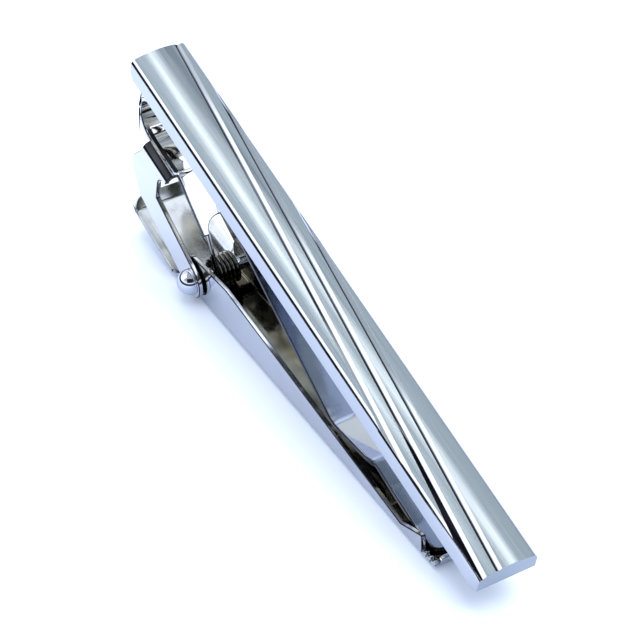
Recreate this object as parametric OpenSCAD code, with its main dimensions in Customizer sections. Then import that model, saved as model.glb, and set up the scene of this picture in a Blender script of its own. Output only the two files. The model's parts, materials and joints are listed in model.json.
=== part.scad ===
// Tie clip: a crowned, grooved bar with a sprung alligator grip on its back.
// It lies on its lower jaw, bar face up. X runs from the tail to the tip, Y across, Z up.

/* [Bar] */
// Length of the bar
bar_l = 60; // [54:1:70]
// Width of the bar
bar_w = 5.5; // [5:0.1:7]
// Height of the bar's sides
bar_side = 2.1; // [1.6:0.1:3]
// Rise of the crowned face above the sides
bar_crown = 0.45; // [0.3:0.05:0.7]
// Width of the polished bevel along each long edge of the face
bevel_w = 0.3; // [0.15:0.05:0.4]
// Size of the relief at the bottom corners of both ends
end_relief = 0.7; // [0.3:0.1:1]
// Width of each slanting groove in the face
groove_w = 0.5; // [0.3:0.05:0.6]
// Depth of each slanting groove
groove_depth = 0.13; // [0.06:0.01:0.2]

/* [Sheet parts] */
// Thickness of the sheet that both jaws are stamped from
sheet_t = 0.45; // [0.35:0.05:0.5]
// Width of the upper jaw's strip and of its curl
strip_w = 4.8; // [4.7:0.1:5]
// Width of the lower jaw over its walls
jaw_w = 5.4; // [5:0.1:5.5]
// Gap between each wall of the lower jaw and the cheek beside it
side_gap = 0.14; // [0.08:0.01:0.16]
// Gap between the upper jaw's strip and the walls it closes on
grip_gap = 0.12; // [0.08:0.01:0.2]
// Gap around the strip's nose, which lies between the lower jaw's walls
nose_gap = 0.15; // [0.1:0.01:0.25]

/* [Hinge] */
// Distance from the bar's tail to the hinge pin
pin_x = 14.4; // [14:0.1:16]
// Depth of the hinge pin below the bar's back
pin_drop = 12.8; // [12:0.1:13.5]
// Height of the hinge pin above the jaw's underside
pin_h = 2.2; // [2.1:0.05:2.5]
// Diameter of the hinge pin
pin_d = 1.3; // [1:0.05:1.5]
// Radial clearance of the lower jaw on the pin
pin_clear = 0.05; // [0.02:0.01:0.08]
// Diameter of the pin's domed heads
head_d = 2.5; // [2.2:0.1:2.8]
// Height of the pin's domed heads
head_h = 1.3; // [0.8:0.1:1.3]
// Radius of the round ends of the cheeks, around the pin
eye_r = 1.65; // [1.4:0.05:1.9]

/* [Upper jaw] */
// Distance from the tail to the middle of the curl
curl_x = 3.75; // [3.3:0.05:4.2]
// Depth of the web that the curl leads to, below the bar's back
web_drop = 4.95; // [4.5:0.05:5.5]
// Distance from the tail to the front end of the web
web_end = 8.5; // [8:0.1:9]
// Radius of the folds between the web and the cheeks, outside
fold_r = 0.9; // [0.6:0.1:1]
// Length of the tongue ahead of the web
tongue_l = 6; // [5.6:0.1:6.4]
// Width of the tongue
tongue_w = 4.2; // [4:0.1:4.5]
// Slope of the tongue, away from the bar, in degrees
tongue_slope = 26; // [20:1:30]
// Radius of the arch cut into the tongue's end
arch_r = 1.5; // [1.3:0.1:1.7]
// Distance from the tail to where the strip leaves the bar's back
lift_x = 18.2; // [17:0.1:20]
// Depth of the strip's crest below the bar's back
crest_drop = 3.85; // [3.6:0.05:4.1]

/* [Lower jaw] */
// Distance from the bar's tail to the lower jaw's tip
jaw_tip_x = 54.6; // [53:0.1:56]
// Depth of the jaw's tip below the bar's back, at its underside
tip_drop = 4.4; // [4.2:0.05:4.8]
// Greatest height of the jaw's walls, ahead of the hinge
wall_h = 4.9; // [4.6:0.1:5.2]
// Least height of the jaw's walls, behind the teeth
wall_low = 1; // [0.8:0.05:1.2]
// Height of the large ramp teeth
ramp_h = 2.3; // [1.8:0.1:2.6]
// Height of the turned-up lip at the tip
lip_h = 0.95; // [0.8:0.05:1.1]
// Length of the thumb tail behind the hinge
tail_l = 12.3; // [11.5:0.1:13]
// Rise of the thumb tail, in degrees
tail_rise = 17; // [12:1:18]
// Corner radius of the thumb tail
tail_corner = 1.5; // [1:0.1:2]
// Length of the thumb tail's turned-up end
tail_lip = 1.4; // [1:0.1:1.8]
// How much further the tail's end turns up, in degrees
lip_turn = 30; // [15:1:40]

/* [Spring] */
// Diameter of the spring wire
wire_d = 0.4; // [0.3:0.02:0.44]
// Diameter of the coil, through the middle of its wire
coil_d = 2.7; // [2.4:0.1:2.9]
// Full turns of the coil, besides the part turn between its legs
coil_turns = 3; // [2:1:3]
// Length of the leg that bears on the tongue
up_leg_l = 6.2; // [5.8:0.1:6.6]
// Length of the leg that bears on the thumb tail
down_leg_l = 6; // [5:0.1:7]

/* [Solder] */
// Thickness of the solder between the bar's back and the strip
solder_t = 0.1; // [0.06:0.01:0.2]

/* [Hidden] */

chrome = "#cdd3dc";
dark_chrome = "#aab2be";
satin = "#b7c0cb";
steel = "#8d949e";
tin = "#c9c6bd";

// Faces of full circles, of small rounds and of each bend
round_fn = 96;
bend_steps = 10;
// How far a cutter runs past what it cuts
over = 1;

// Where the jaws lie to each other: the lower jaw runs flat from the pin to its tip
tip_run = jaw_tip_x - pin_x;
tip_rise = pin_drop - tip_drop;
tilt = atan2(tip_rise, tip_run) + asin(pin_h / norm([tip_run, tip_rise]));
jaw_l = tip_run * cos(tilt) + tip_rise * sin(tilt);

// A point of the lower jaw's own frame (ahead of the pin, above its underside) seen from the bar
function to_bar(p) = [
    pin_x + p[0] * cos(tilt) - (p[1] - pin_h) * sin(tilt),
    -pin_drop + p[0] * sin(tilt) + (p[1] - pin_h) * cos(tilt)
];
// A point of the bar's frame seen from the lower jaw
function to_jaw(p) = [
    (p[0] - pin_x) * cos(tilt) + (p[1] + pin_drop) * sin(tilt),
    -(p[0] - pin_x) * sin(tilt) + (p[1] + pin_drop) * cos(tilt) + pin_h
];

// Widths across the hinge, from the inside outwards
jaw_in = jaw_w / 2 - sheet_t;
cheek_in = jaw_w / 2 + side_gap;
cheek_out = cheek_in + sheet_t;
nose_w = 2 * (jaw_in - nose_gap);

// The jaw's outline, along the jaw from the pin
wall_peak_share = 0.14;
ramp_start_share = 0.87;
ramp_peak_share = 0.947;
ramp_drop_share = 0.953;
wall_peak_x = jaw_l * wall_peak_share;
ramp_start_x = jaw_l * ramp_start_share;
ramp_peak_x = jaw_l * ramp_peak_share;
ramp_drop_x = jaw_l * ramp_drop_share;
// Height of the walls at a distance ahead of the pin, behind the teeth
function wall_at(x) =
    wall_h + (wall_low - wall_h) * (x - wall_peak_x) / (ramp_start_x - wall_peak_x);
saw_teeth = 2;
saw_h = wall_low / 3;
jaw_fold_r = 1.5 * sheet_t;
neck_l = 1.6 * pin_h;
tail_bend_r = 4 * sheet_t;
tail_end = [-tail_l, sheet_t / 2 + (tail_l - pin_h) * tan(tail_rise)];
tail_knee = tail_end + tail_lip * [cos(tail_rise), -sin(tail_rise)];
tail_tip = tail_knee + tail_lip * [-cos(tail_rise + lip_turn), sin(tail_rise + lip_turn)];

// The strip's route, through the middle of the sheet, in the bar's frame
back_z = -solder_t - sheet_t / 2;
curl_r = (web_drop + back_z) / 2;
dip_share = 0.585;
crest_share = 0.735;
nose_low_share = 0.9;
nose_end_share = 0.975;
dip_x = jaw_l * dip_share;
dip = to_bar([dip_x, wall_at(dip_x) + grip_gap + sheet_t / 2]);
crest = [to_bar([jaw_l * crest_share, pin_h])[0], -crest_drop];
nose_low = to_bar([jaw_l * nose_low_share, wall_low + sheet_t / 2]);
nose_end = to_bar([jaw_l * nose_end_share, sheet_t + nose_gap + sheet_t / 2]);
strip_bend_r = 6 * sheet_t;
dip_bend_r = 5 * sheet_t;
crest_bend_r = 4 * sheet_t;
shoulder_x = crest[0] + sheet_t;
shoulder_l = 3 * sheet_t;
nose_corner = nose_w / 4;
tongue_end = [web_end + tongue_l * cos(tongue_slope), -web_drop - tongue_l * sin(tongue_slope)];
tongue_bend_r = 3 * sheet_t;

// The cheeks' outline: an elbow and a rear bulge below the web
rear_r = 2;
arm_r = 1.7;
crotch_r = 1.4;
rear_x = curl_x + 0.25 * curl_r;
rear = [rear_x, -web_drop - 1.55 * curl_r];
elbow = [rear_x + 0.3 * curl_r, -web_drop - 2.25 * curl_r];
cheek_from = rear_x - sheet_t;
fold_bottom = -web_drop + sheet_t / 2 - fold_r;

// The spring: its pitch leaves the curls clear of each other, and its legs just touch
coil_pitch = 2.125 * wire_d;
spring_touch = 0.03;

// The soldered stretch, and the fillet that shows beside the strip
solder_from = curl_x + sheet_t;
solder_to = lift_x - 2 * sheet_t;
fillet = (bar_w - strip_w) / 2 - sheet_t / 4;

// The part's place: its underside on z = 0 and the middle of its length over the origin
crown_top = bar_side + bar_crown;
reach_back = min(tail_tip[0] - sheet_t / 2 * sin(tail_rise + lip_turn), to_jaw([0, 0])[0]);
reach_front = to_jaw([bar_l, crown_top])[0];
pin_at = -(reach_back + reach_front) / 2;

// The crown's radius, and how far the grooves slant
crown_r = (bar_w * bar_w / 4 + bar_crown * bar_crown) / (2 * bar_crown);
groove_slant_share = 1.03;
groove_slant = atan(groove_slant_share * bar_w / bar_l);
// Where each groove crosses the middle of the face, along the bar
groove_mid_shares = [0.33, 0.574, 0.824];

// A point at an angle on a circle
function on_circle(c, r, a) = [c[0] + r * cos(a), c[1] + r * sin(a)];
// The unit vector from one point to another
function toward(a, b) = (b - a) / norm(b - a);
// The left-hand normal of a direction
function left_of(d) = [-d[1], d[0]];
// Where a line from a point above a circle touches it, on its left
function touch(p, c, r) =
    on_circle(c, r, atan2(p[1] - c[1], p[0] - c[0]) + acos(r / norm(p - c)));

// The arc that rounds corner b of the route a-b-c with radius r, sideways by s
function bend(a, b, c, r, s) =
    let(
        d0 = toward(a, b),
        d1 = toward(b, c),
        turn = atan2(d0[0] * d1[1] - d0[1] * d1[0], d0[0] * d1[0] + d0[1] * d1[1]),
        side = turn > 0 ? 1 : -1,
        t = r * tan(abs(turn) / 2),
        start = b - d0 * t,
        centre = start + left_of(d0) * r * side,
        from = atan2(start[1] - centre[1], start[0] - centre[0]),
        rr = r - side * s
    )
    [for (i = [0 : bend_steps]) on_circle(centre, rr, from + turn * i / bend_steps)];

// A route's side line: its two ends and the arcs at the corners between, offset sideways by s
function side_line(pts, radii, s) =
    let(
        n = len(pts),
        d0 = toward(pts[0], pts[1]),
        d1 = toward(pts[n - 2], pts[n - 1])
    )
    concat(
        [pts[0] + left_of(d0) * s],
        [for (i = [1 : n - 2]) each bend(pts[i - 1], pts[i], pts[i + 1], radii[i - 1], s)],
        [pts[n - 1] + left_of(d1) * s]
    );

function reversed(v) = [for (i = [len(v) - 1 : -1 : 0]) v[i]];

// A strip of sheet seen from the side, along a route with rounded corners
module ribbon(pts, radii) {
    polygon(concat(
        side_line(pts, radii, sheet_t / 2),
        reversed(side_line(pts, radii, -sheet_t / 2))
    ));
}

// Stands an outline drawn in X and Z up, and thickens it across Y
module across(w) {
    rotate([90, 0, 0])
        linear_extrude(height = w, center = true)
            children();
}

// The same, between two distances to one side of the middle
module plate(y_from, y_to) {
    translate([0, (y_from + y_to) / 2, 0])
        across(abs(y_to - y_from))
            children();
}

// Puts a child drawn from the jaw's underside below the pin where the part lies
module in_jaw() {
    translate([pin_at, 0, 0])
        children();
}

// Puts a child drawn in the bar's frame where the part lies
module in_bar() {
    translate([pin_at, 0, pin_h])
        rotate([0, tilt, 0])
            translate([-pin_x, 0, pin_drop])
                children();
}

// A rectangle with its end at +X rounded at both corners
module rounded_end(x_from, x_to, w, r) {
    translate([x_from, -w / 2])
        square([x_to - x_from - r, w]);
    translate([x_from, -w / 2 + r])
        square([x_to - x_from, w - 2 * r]);
    for (side = [-1, 1])
        translate([x_to - r, side * (w / 2 - r)])
            circle(r = r, $fn = round_fn);
}

// One groove: a V section swung along the crown on the slanting line
module groove(mid_x) {
    path_r = crown_r / pow(sin(groove_slant), 2);
    span = 2 * asin((bar_w / 2 + over) / sin(groove_slant) / path_r);
    top = groove_depth;
    translate([mid_x, 0, crown_top - path_r])
        rotate([0, 0, -groove_slant])
            rotate([90, 0, 0])
                rotate([0, 0, 90 - span / 2])
                    rotate_extrude(angle = span, $fn = round_fn * 60)
                        polygon([
                            [path_r - groove_depth, 0],
                            [path_r + top, groove_w],
                            [path_r + top, -groove_w]
                        ]);
}

// The bar seen from its end: flat back, straight sides and a crown
module bar_section() {
    intersection() {
        translate([-bar_w / 2, 0])
            square([bar_w, crown_top]);
        translate([0, crown_top - crown_r])
            circle(r = crown_r, $fn = round_fn * 4);
    }
}

// What the bevel cuts away along one long edge of the face
module bevel_section() {
    bevel_y = bar_w / 2 - bevel_w;
    bevel_top = crown_top - crown_r + sqrt(crown_r * crown_r - bevel_y * bevel_y);
    slope = (bevel_top - bar_side + bevel_w) / bevel_w;
    polygon([
        [bar_w / 2 + over, bar_side - bevel_w - over * slope],
        [bevel_y - over, bevel_top + over * slope],
        [bar_w / 2 + over, bevel_top + over * slope]
    ]);
}

module face_bar() {
    color(satin)
        in_bar()
            difference() {
                rotate([90, 0, 90])
                    linear_extrude(height = bar_l)
                        bar_section();
                for (s = groove_mid_shares)
                    groove(bar_l * s);
                for (side = [0, 1])
                    mirror([0, side, 0])
                        along_x(-over, bar_l + over)
                            bevel_section();
                for (x = [0, bar_l])
                    translate([x, 0, 0])
                        rotate([0, 45, 0])
                            cube([end_relief, bar_w + over, end_relief], center = true);
            }
}

// The strip, the curl and the web in one route, from the nose back along the bar to the web's end
module strip_side() {
    route = [
        nose_end, nose_low, crest, dip, [lift_x, back_z], [curl_x, back_z]
    ];
    ribbon(route, [dip_bend_r, crest_bend_r, dip_bend_r, strip_bend_r]);
}

module curl_side() {
    centre = [curl_x, back_z - curl_r];
    intersection() {
        difference() {
            translate(centre)
                circle(r = curl_r + sheet_t / 2, $fn = round_fn);
            translate(centre)
                circle(r = curl_r - sheet_t / 2, $fn = round_fn);
        }
        translate([curl_x - 2 * curl_r, centre[1] - 2 * curl_r])
            square([2 * curl_r, 4 * curl_r]);
    }
}

module tongue_side() {
    ribbon([[curl_x, -web_drop], [web_end, -web_drop], tongue_end], [tongue_bend_r]);
}

// The cheek's outline, in the bar's frame
module cheek_side() {
    pin = [pin_x, -pin_drop];
    up = left_of(toward(elbow, pin));
    back = left_of(toward(elbow, rear));
    front_x = web_end - crotch_r;
    for (c = [[pin, eye_r], [elbow, arm_r], [rear, rear_r]])
        translate(c[0])
            circle(r = c[1], $fn = round_fn);
    // The arm, between the elbow and the round end
    polygon([elbow + up * arm_r, elbow - up * arm_r, pin - up * eye_r, pin + up * eye_r]);
    // The upright, from the fold down to the elbow, with a round crotch under the web's end
    difference() {
        polygon([
            [cheek_from, fold_bottom],
            touch([cheek_from, fold_bottom], rear, rear_r),
            rear + back * rear_r,
            elbow + back * arm_r,
            elbow,
            [front_x, elbow[1]],
            [front_x, fold_bottom - crotch_r],
            [web_end, fold_bottom - crotch_r],
            [web_end, fold_bottom]
        ]);
        translate([web_end, fold_bottom - crotch_r])
            circle(r = crotch_r, $fn = round_fn);
    }
}

// A channel's section with rounded folds: half its width, its height and the radius
module channel_outline(half, h, r) {
    if (h > r)
        translate([-half, r])
            square([2 * half, h - r]);
    translate([-half + r, 0])
        square([2 * (half - r), h]);
    for (side = [-1, 1])
        translate([side * (half - r), r])
            circle(r = r, $fn = round_fn);
}

module channel_section(half, h, r) {
    difference() {
        channel_outline(half, h, r);
        translate([0, sheet_t])
            channel_outline(half - sheet_t, h, r - sheet_t);
    }
}

// Sweeps a section drawn in Y and Z along X
module along_x(x_from, x_to) {
    translate([x_from, 0, 0])
        rotate([90, 0, 90])
            linear_extrude(height = x_to - x_from)
                children();
}

// The strip's plan: full width to the shoulder, then the narrow nose with round corners
module strip_plan() {
    polygon([
        [curl_x - 2 * curl_r, -strip_w / 2],
        [shoulder_x - shoulder_l, -strip_w / 2],
        [shoulder_x, -nose_w / 2],
        [shoulder_x, nose_w / 2],
        [shoulder_x - shoulder_l, strip_w / 2],
        [curl_x - 2 * curl_r, strip_w / 2]
    ]);
    rounded_end(shoulder_x, nose_end[0] + over, nose_w, nose_corner);
}

module upper_jaw() {
    color(chrome)
        in_bar() {
            // Strip and curl, cut to the strip's plan
            intersection() {
                across(strip_w) {
                    strip_side();
                    curl_side();
                }
                translate([0, 0, -pin_drop])
                    linear_extrude(height = 2 * pin_drop)
                        strip_plan();
            }
            // Tongue with its arch
            difference() {
                across(tongue_w)
                    tongue_side();
                translate([tongue_end[0], 0, -pin_drop])
                    cylinder(r = arch_r, h = pin_drop, $fn = round_fn);
            }
            // Web, folded down at both sides
            translate([0, 0, -web_drop + sheet_t / 2])
                mirror([0, 0, 1])
                    along_x(cheek_from, web_end)
                        channel_section(cheek_out, fold_r, fold_r);
            // Cheeks, drilled for the pin
            difference() {
                for (side = [-1, 1])
                    plate(side * cheek_in, side * cheek_out)
                        cheek_side();
                translate([pin_x, 0, -pin_drop])
                    rotate([90, 0, 0])
                        cylinder(d = pin_d, h = 2 * (cheek_out + over), center = true, $fn = round_fn);
            }
        }
}

// The lower jaw's wall seen from the side, drawn from its underside below the pin
module jaw_side() {
    saw_x = ramp_drop_x;
    saw_step = (jaw_l - saw_x) / saw_teeth;
    saw_base = wall_low - saw_h;
    translate([0, pin_h])
        circle(r = pin_h, $fn = round_fn);
    polygon(concat(
        [[0, 0], [jaw_l, 0]],
        [
            for (i = [saw_teeth : -1 : 1])
                each [[saw_x + saw_step * i, wall_low], [saw_x + saw_step * (i - 1), saw_base]]
        ],
        [
            [ramp_drop_x, ramp_h],
            [ramp_peak_x, ramp_h],
            [ramp_start_x, wall_low],
            [wall_peak_x, wall_h],
            [0, 2 * pin_h]
        ]
    ));
}

// The web behind the hinge: a neck between the cheeks, then the wide thumb tail
module tail_plan() {
    translate([-neck_l, -jaw_w / 2])
        square([neck_l, jaw_w]);
    mirror([1, 0])
        rounded_end(neck_l, -tail_tip[0] + sheet_t, 2 * cheek_out, tail_corner + sheet_t);
}

module lower_jaw() {
    color(dark_chrome)
        in_jaw()
            difference() {
                union() {
                    // Channel, its walls cut to their outline
                    intersection() {
                        along_x(-pin_h, jaw_l)
                            channel_section(jaw_w / 2, wall_h, jaw_fold_r);
                        across(jaw_w)
                            jaw_side();
                    }
                    // Lip turned up at the tip
                    translate([jaw_l - sheet_t, -jaw_w / 2 + jaw_fold_r, 0])
                        cube([sheet_t, jaw_w - 2 * jaw_fold_r, lip_h]);
                    // Neck and thumb tail
                    intersection() {
                        across(2 * cheek_out)
                            ribbon(
                                [[sheet_t, sheet_t / 2], [-pin_h, sheet_t / 2], tail_knee, tail_tip],
                                [tail_bend_r, tail_bend_r / 2]
                            );
                        linear_extrude(height = pin_drop)
                            tail_plan();
                    }
                }
                translate([0, 0, pin_h])
                    rotate([90, 0, 0])
                        cylinder(d = pin_d + 2 * pin_clear, h = jaw_w + over, center = true, $fn = round_fn);
            }
}

// A dome of a given diameter and height, its flat side on z = 0
module dome(d, h) {
    ball_r = (d * d / 4 + h * h) / (2 * h);
    intersection() {
        translate([0, 0, h - ball_r])
            sphere(r = ball_r, $fn = round_fn);
        cylinder(d = d, h = h, $fn = round_fn);
    }
}

module hinge_pin() {
    color(steel)
        in_jaw()
            translate([0, 0, pin_h])
                rotate([90, 0, 0]) {
                    cylinder(d = pin_d, h = 2 * cheek_out, center = true, $fn = round_fn);
                    for (side = [0, 1])
                        mirror([0, 0, side])
                            translate([0, 0, cheek_out])
                                dome(head_d, head_h);
                }
}

// The spring's wire: one leg under the tongue, the coil, and one leg on the thumb tail
function leg_dip(rest, l) = asin(rest / norm([coil_d / 2, l])) - atan2(coil_d / 2, l);
tongue_rest = let(
        d = tongue_end - [web_end, -web_drop],
        n = left_of(d) / norm(d),
        v = tongue_end - [pin_x, -pin_drop]
    ) v * n - sheet_t / 2 - wire_d / 2 - spring_touch;
tail_rest = let(
        d = [-cos(tail_rise), sin(tail_rise)],
        n = left_of(d),
        v = tail_end - [0, pin_h]
    ) v * n - sheet_t / 2 - wire_d / 2 - spring_touch;
// Directions of the legs, from the coil outwards, in the lower jaw's frame
up_dir = 180 - tongue_slope - leg_dip(tongue_rest, up_leg_l) - tilt;
down_dir = 180 - tail_rise + leg_dip(tail_rest, down_leg_l);
// The coil runs clockwise, from the angle where it leaves one leg to where it meets the other
coil_from = up_dir - 90;
coil_to = down_dir + 90 - 360 * (coil_turns + 1);
curl_rings = 8;
coil_rings = round((coil_from - coil_to) / 360 * curl_rings);
coil_span = coil_pitch * (coil_from - coil_to) / 360;
coil_path = [
    for (i = [0 : coil_rings])
        let(s = i / coil_rings, a = coil_from + (coil_to - coil_from) * s, r = coil_d / 2)
        [r * cos(a), coil_span * (s - 1 / 2), r * sin(a), a]
];
wire_path = concat(
    [[
        coil_path[0][0] + up_leg_l * cos(up_dir), -coil_span / 2,
        coil_path[0][2] + up_leg_l * sin(up_dir), coil_from
    ]],
    coil_path,
    [[
        coil_path[coil_rings][0] + down_leg_l * cos(down_dir), coil_span / 2,
        coil_path[coil_rings][2] + down_leg_l * sin(down_dir), coil_to
    ]]
);
wire_sides = 6;
wire_points = [
    for (p = wire_path)
        each [
            for (k = [0 : wire_sides - 1])
                let(b = 360 * k / wire_sides, u = wire_d / 2 * cos(b), w = wire_d / 2 * sin(b))
                [p[0] + u * cos(p[3]), p[1] + w, p[2] + u * sin(p[3])]
        ]
];
wire_rings = len(wire_path);
wire_faces = concat(
    [for (k = [1 : wire_sides - 2]) [0, k, k + 1]],
    [
        for (i = [0 : wire_rings - 2], k = [0 : wire_sides - 1])
            let(
                a = i * wire_sides + k,
                b = i * wire_sides + (k + 1) % wire_sides,
                c = a + wire_sides,
                d = b + wire_sides
            )
            each [[a, c, b], [b, c, d]]
    ],
    [for (k = [1 : wire_sides - 2]) let(e = (wire_rings - 1) * wire_sides) [e, e + k + 1, e + k]]
);
function place(p) = [p[0], p[1], p[2]];
// Least gap between one curl and the next, measured on the rings' middles
wire_gap = min([
    for (i = [0 : coil_rings], j = [0 : coil_rings])
        if (j - i > curl_rings / 2) norm(place(coil_path[i]) - place(coil_path[j])) - wire_d
]);

module torsion_spring() {
    echo(least_gap_between_curls = wire_gap);
    color(steel)
        in_jaw()
            translate([0, 0, pin_h])
                polyhedron(points = wire_points, faces = wire_faces);
}

// Solder between the bar's back and the strip, with a fillet along both of the strip's edges
module solder_seam() {
    color(tin)
        in_bar() {
            translate([solder_from, -strip_w / 2, -solder_t])
                cube([solder_to - solder_from, strip_w, solder_t]);
            for (side = [0, 1])
                mirror([0, side, 0])
                    along_x(solder_from, solder_to)
                        polygon([
                            [strip_w / 2, 0],
                            [strip_w / 2 + fillet, 0],
                            [strip_w / 2, -solder_t - fillet]
                        ]);
        }
}

face_bar();
upper_jaw();
lower_jaw();
hinge_pin();
torsion_spring();
solder_seam();
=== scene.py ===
# %% [markdown]
# # A tie clip in bright chrome
# The clip lies on its lower jaw with the face up. Its parts are a crowned bar, two jaws stamped from
# sheet, a hinge pin, a torsion spring and a line of solder. Chrome has almost no colour of its own: what
# makes it look real is crisp edges to catch the light and something worth reflecting. So the steps here
# are the camera, then one metal part after another, each made the way a workshop makes it, the finishes
# as soon as a part needs them, and last the room that the chrome mirrors.

# %% Load the fixed frame
import json
import math

import bmesh
import bpy
from mathutils import Matrix, Vector


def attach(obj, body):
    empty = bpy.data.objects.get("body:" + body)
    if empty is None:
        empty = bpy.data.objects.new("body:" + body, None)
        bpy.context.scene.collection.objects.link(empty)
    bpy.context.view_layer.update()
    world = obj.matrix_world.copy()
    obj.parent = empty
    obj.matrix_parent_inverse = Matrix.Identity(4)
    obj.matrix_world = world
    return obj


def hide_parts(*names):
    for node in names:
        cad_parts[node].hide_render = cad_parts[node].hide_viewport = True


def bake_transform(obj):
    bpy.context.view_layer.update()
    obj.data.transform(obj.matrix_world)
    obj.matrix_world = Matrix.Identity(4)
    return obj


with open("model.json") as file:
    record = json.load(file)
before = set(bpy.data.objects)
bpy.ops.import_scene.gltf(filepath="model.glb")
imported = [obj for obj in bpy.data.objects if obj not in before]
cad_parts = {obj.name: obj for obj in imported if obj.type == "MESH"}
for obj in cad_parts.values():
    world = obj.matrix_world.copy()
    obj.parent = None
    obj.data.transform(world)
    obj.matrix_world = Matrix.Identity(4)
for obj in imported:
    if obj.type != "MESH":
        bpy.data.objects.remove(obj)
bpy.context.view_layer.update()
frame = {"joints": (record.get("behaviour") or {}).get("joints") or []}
MM = 0.001
UPPER, LOWER = "bar_and_upper_jaw", "lower_jaw"
PIN = Vector(frame["joints"][0]["pos_m"]) / MM
print("hinge pin, in mm:", tuple(round(v, 2) for v in PIN))

# %% [markdown]
# ## Camera
# The photograph was taken from about 23 cm away with a long lens, from the near side and above. The
# camera's place, aim and roll were found by fitting the bar's four top corners and its lower edge. A
# focal length in pixels turns into a lens by the sensor's width over the picture's width.

# %% Place the camera
PICTURE_PX = 640
FOCAL_PX = 2708
SENSOR_MM = 36
camera_place = Vector((155.2, -83.8, 157.7))
camera_aim = Vector((1.12, -0.45, 10.0))
camera_roll = math.radians(-2.28)

camera_data = bpy.data.cameras.new("camera")
camera_data.sensor_width = SENSOR_MM
camera_data.lens = FOCAL_PX * SENSOR_MM / PICTURE_PX
camera_data.clip_start = 0.01
camera = bpy.data.objects.new("camera", camera_data)
camera.location = camera_place * MM
look = (camera_aim - camera_place).to_track_quat("-Z", "Y")
camera.rotation_mode = "QUATERNION"
camera.rotation_quaternion = look @ Matrix.Rotation(camera_roll, 3, "Z").to_quaternion()
bpy.context.scene.collection.objects.link(camera)
bpy.context.scene.camera = camera
print("lens, in mm:", round(camera_data.lens, 1))

# %% [markdown]
# ## Shapes that every part uses
# Two frames help. The bar's frame has its X along the bar from the tail, and Z up from the bar's back;
# it leans by the angle at which the clip rests. The jaw's frame starts at the pin and is level with the
# table. Both are turned into the part's own frame here, in millimetres.

# %% Sizes shared by several parts, and the two frames
BAR_L, BAR_W, BAR_SIDE, BAR_CROWN = 60, 5.5, 2.1, 0.45
SHEET = 0.45
STRIP_W, JAW_W = 4.8, 5.4
SIDE_GAP, GRIP_GAP, NOSE_GAP = 0.14, 0.12, 0.15
PIN_X, PIN_DROP, PIN_H = 14.4, 12.8, 2.2
JAW_TIP_X, TIP_DROP = 54.6, 4.4
WALL_H, WALL_LOW = 4.9, 1.0

tip_run = JAW_TIP_X - PIN_X
tip_rise = PIN_DROP - TIP_DROP
TILT = math.atan2(tip_rise, tip_run) + math.asin(PIN_H / math.hypot(tip_run, tip_rise))
JAW_L = tip_run * math.cos(TILT) + tip_rise * math.sin(TILT)
CHEEK_MID = JAW_W / 2 + SIDE_GAP + SHEET / 2

bar_frame = (
    Matrix.Scale(MM, 4)
    @ Matrix.Translation(PIN)
    @ Matrix.Rotation(TILT, 4, "Y")
    @ Matrix.Translation((-PIN_X, 0, PIN_DROP))
)


def from_bar(x, y, z):
    """A point of the bar's frame, in the part's frame, in millimetres."""
    return bar_frame @ Vector((x, y, z)) / MM


def from_jaw(x, y, z):
    """A point of the lower jaw's frame, in the part's frame."""
    return Vector((PIN.x + x, y, PIN.z - PIN_H + z))


def jaw_to_bar(x, z):
    """A point of the lower jaw's frame, seen from the bar's."""
    dz = z - PIN_H
    lean, level = math.sin(TILT), math.cos(TILT)
    return (PIN_X + x * level - dz * lean, x * lean + dz * level - PIN_DROP)


print("the clip leans by", round(math.degrees(TILT), 2), "degrees; the jaw is", round(JAW_L, 2), "mm long")

# %% [markdown]
# A stamped part starts as a flat blank, and is then bent. The same two steps make it here. `Route` is the
# line that the middle of the sheet follows, seen from the side: straight runs joined by round bends. It
# answers one question: after so many millimetres along the sheet, where are we? A Curve object could
# follow the same line, but it couldn't carry an outline with cheeks and teeth.

# %% The line that a bent sheet follows
BEND_STEPS = 20
DISH_STEPS = 6


class Route:
    """Straight runs joined by round bends. Each run is start and end length, start, way, turn, radius."""

    def __init__(self, corners, radii):
        """corners are points in a side view, radii are of the bends at all but the two ends."""
        points = [Vector(c) for c in corners]
        self.runs = []
        here, length = points[0], 0.0
        for before, corner, after, radius in zip(points, points[1:], points[2:], radii):
            way_in, way_out = (corner - before).normalized(), (after - corner).normalized()
            turn = math.atan2(way_in.x * way_out.y - way_in.y * way_out.x, way_in.dot(way_out))
            reach = radius * math.tan(abs(turn) / 2)
            start = corner - way_in * reach
            self.runs.append((length, length + (start - here).length, here, way_in, 0.0, 0.0))
            length += (start - here).length
            self.runs.append((length, length + radius * abs(turn), start, way_in, turn, radius))
            length += radius * abs(turn)
            here = corner + way_out * reach
        way = (points[-1] - here).normalized()
        self.runs.append((length, length + (points[-1] - here).length, here, way, 0.0, 0.0))
        self.length = self.runs[-1][1]

    def at(self, s):
        """The point at length s, and the direction there."""
        run = next((r for r in self.runs if s <= r[1]), self.runs[-1])
        start_s, end_s, start, way, turn, radius = run
        if not turn:
            return start + way * (s - start_s), way
        angle = turn * (s - start_s) / (end_s - start_s)
        side = math.copysign(1, turn)
        left = Vector((-way.y, way.x))
        centre = start + left * radius * side
        spin = Matrix.Rotation(angle, 2)
        return centre + spin @ (start - centre), spin @ way

    def where_x(self, x, run_index):
        """The length at which the straight run of that number, drawn on if need be, reaches x."""
        start_s, _, start, way, _, _ = self.runs[run_index]
        return start_s + (x - start.x) / way.x

    def bend_lines(self):
        """The lengths at which the blank is creased, so that it can bend smoothly."""
        lines = []
        for start_s, end_s, _, _, turn, _ in self.runs:
            if turn:
                steps = max(3, round(BEND_STEPS * abs(turn) / (math.pi / 2)))
                lines += [start_s + (end_s - start_s) * i / steps for i in range(steps + 1)]
        return lines


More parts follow.
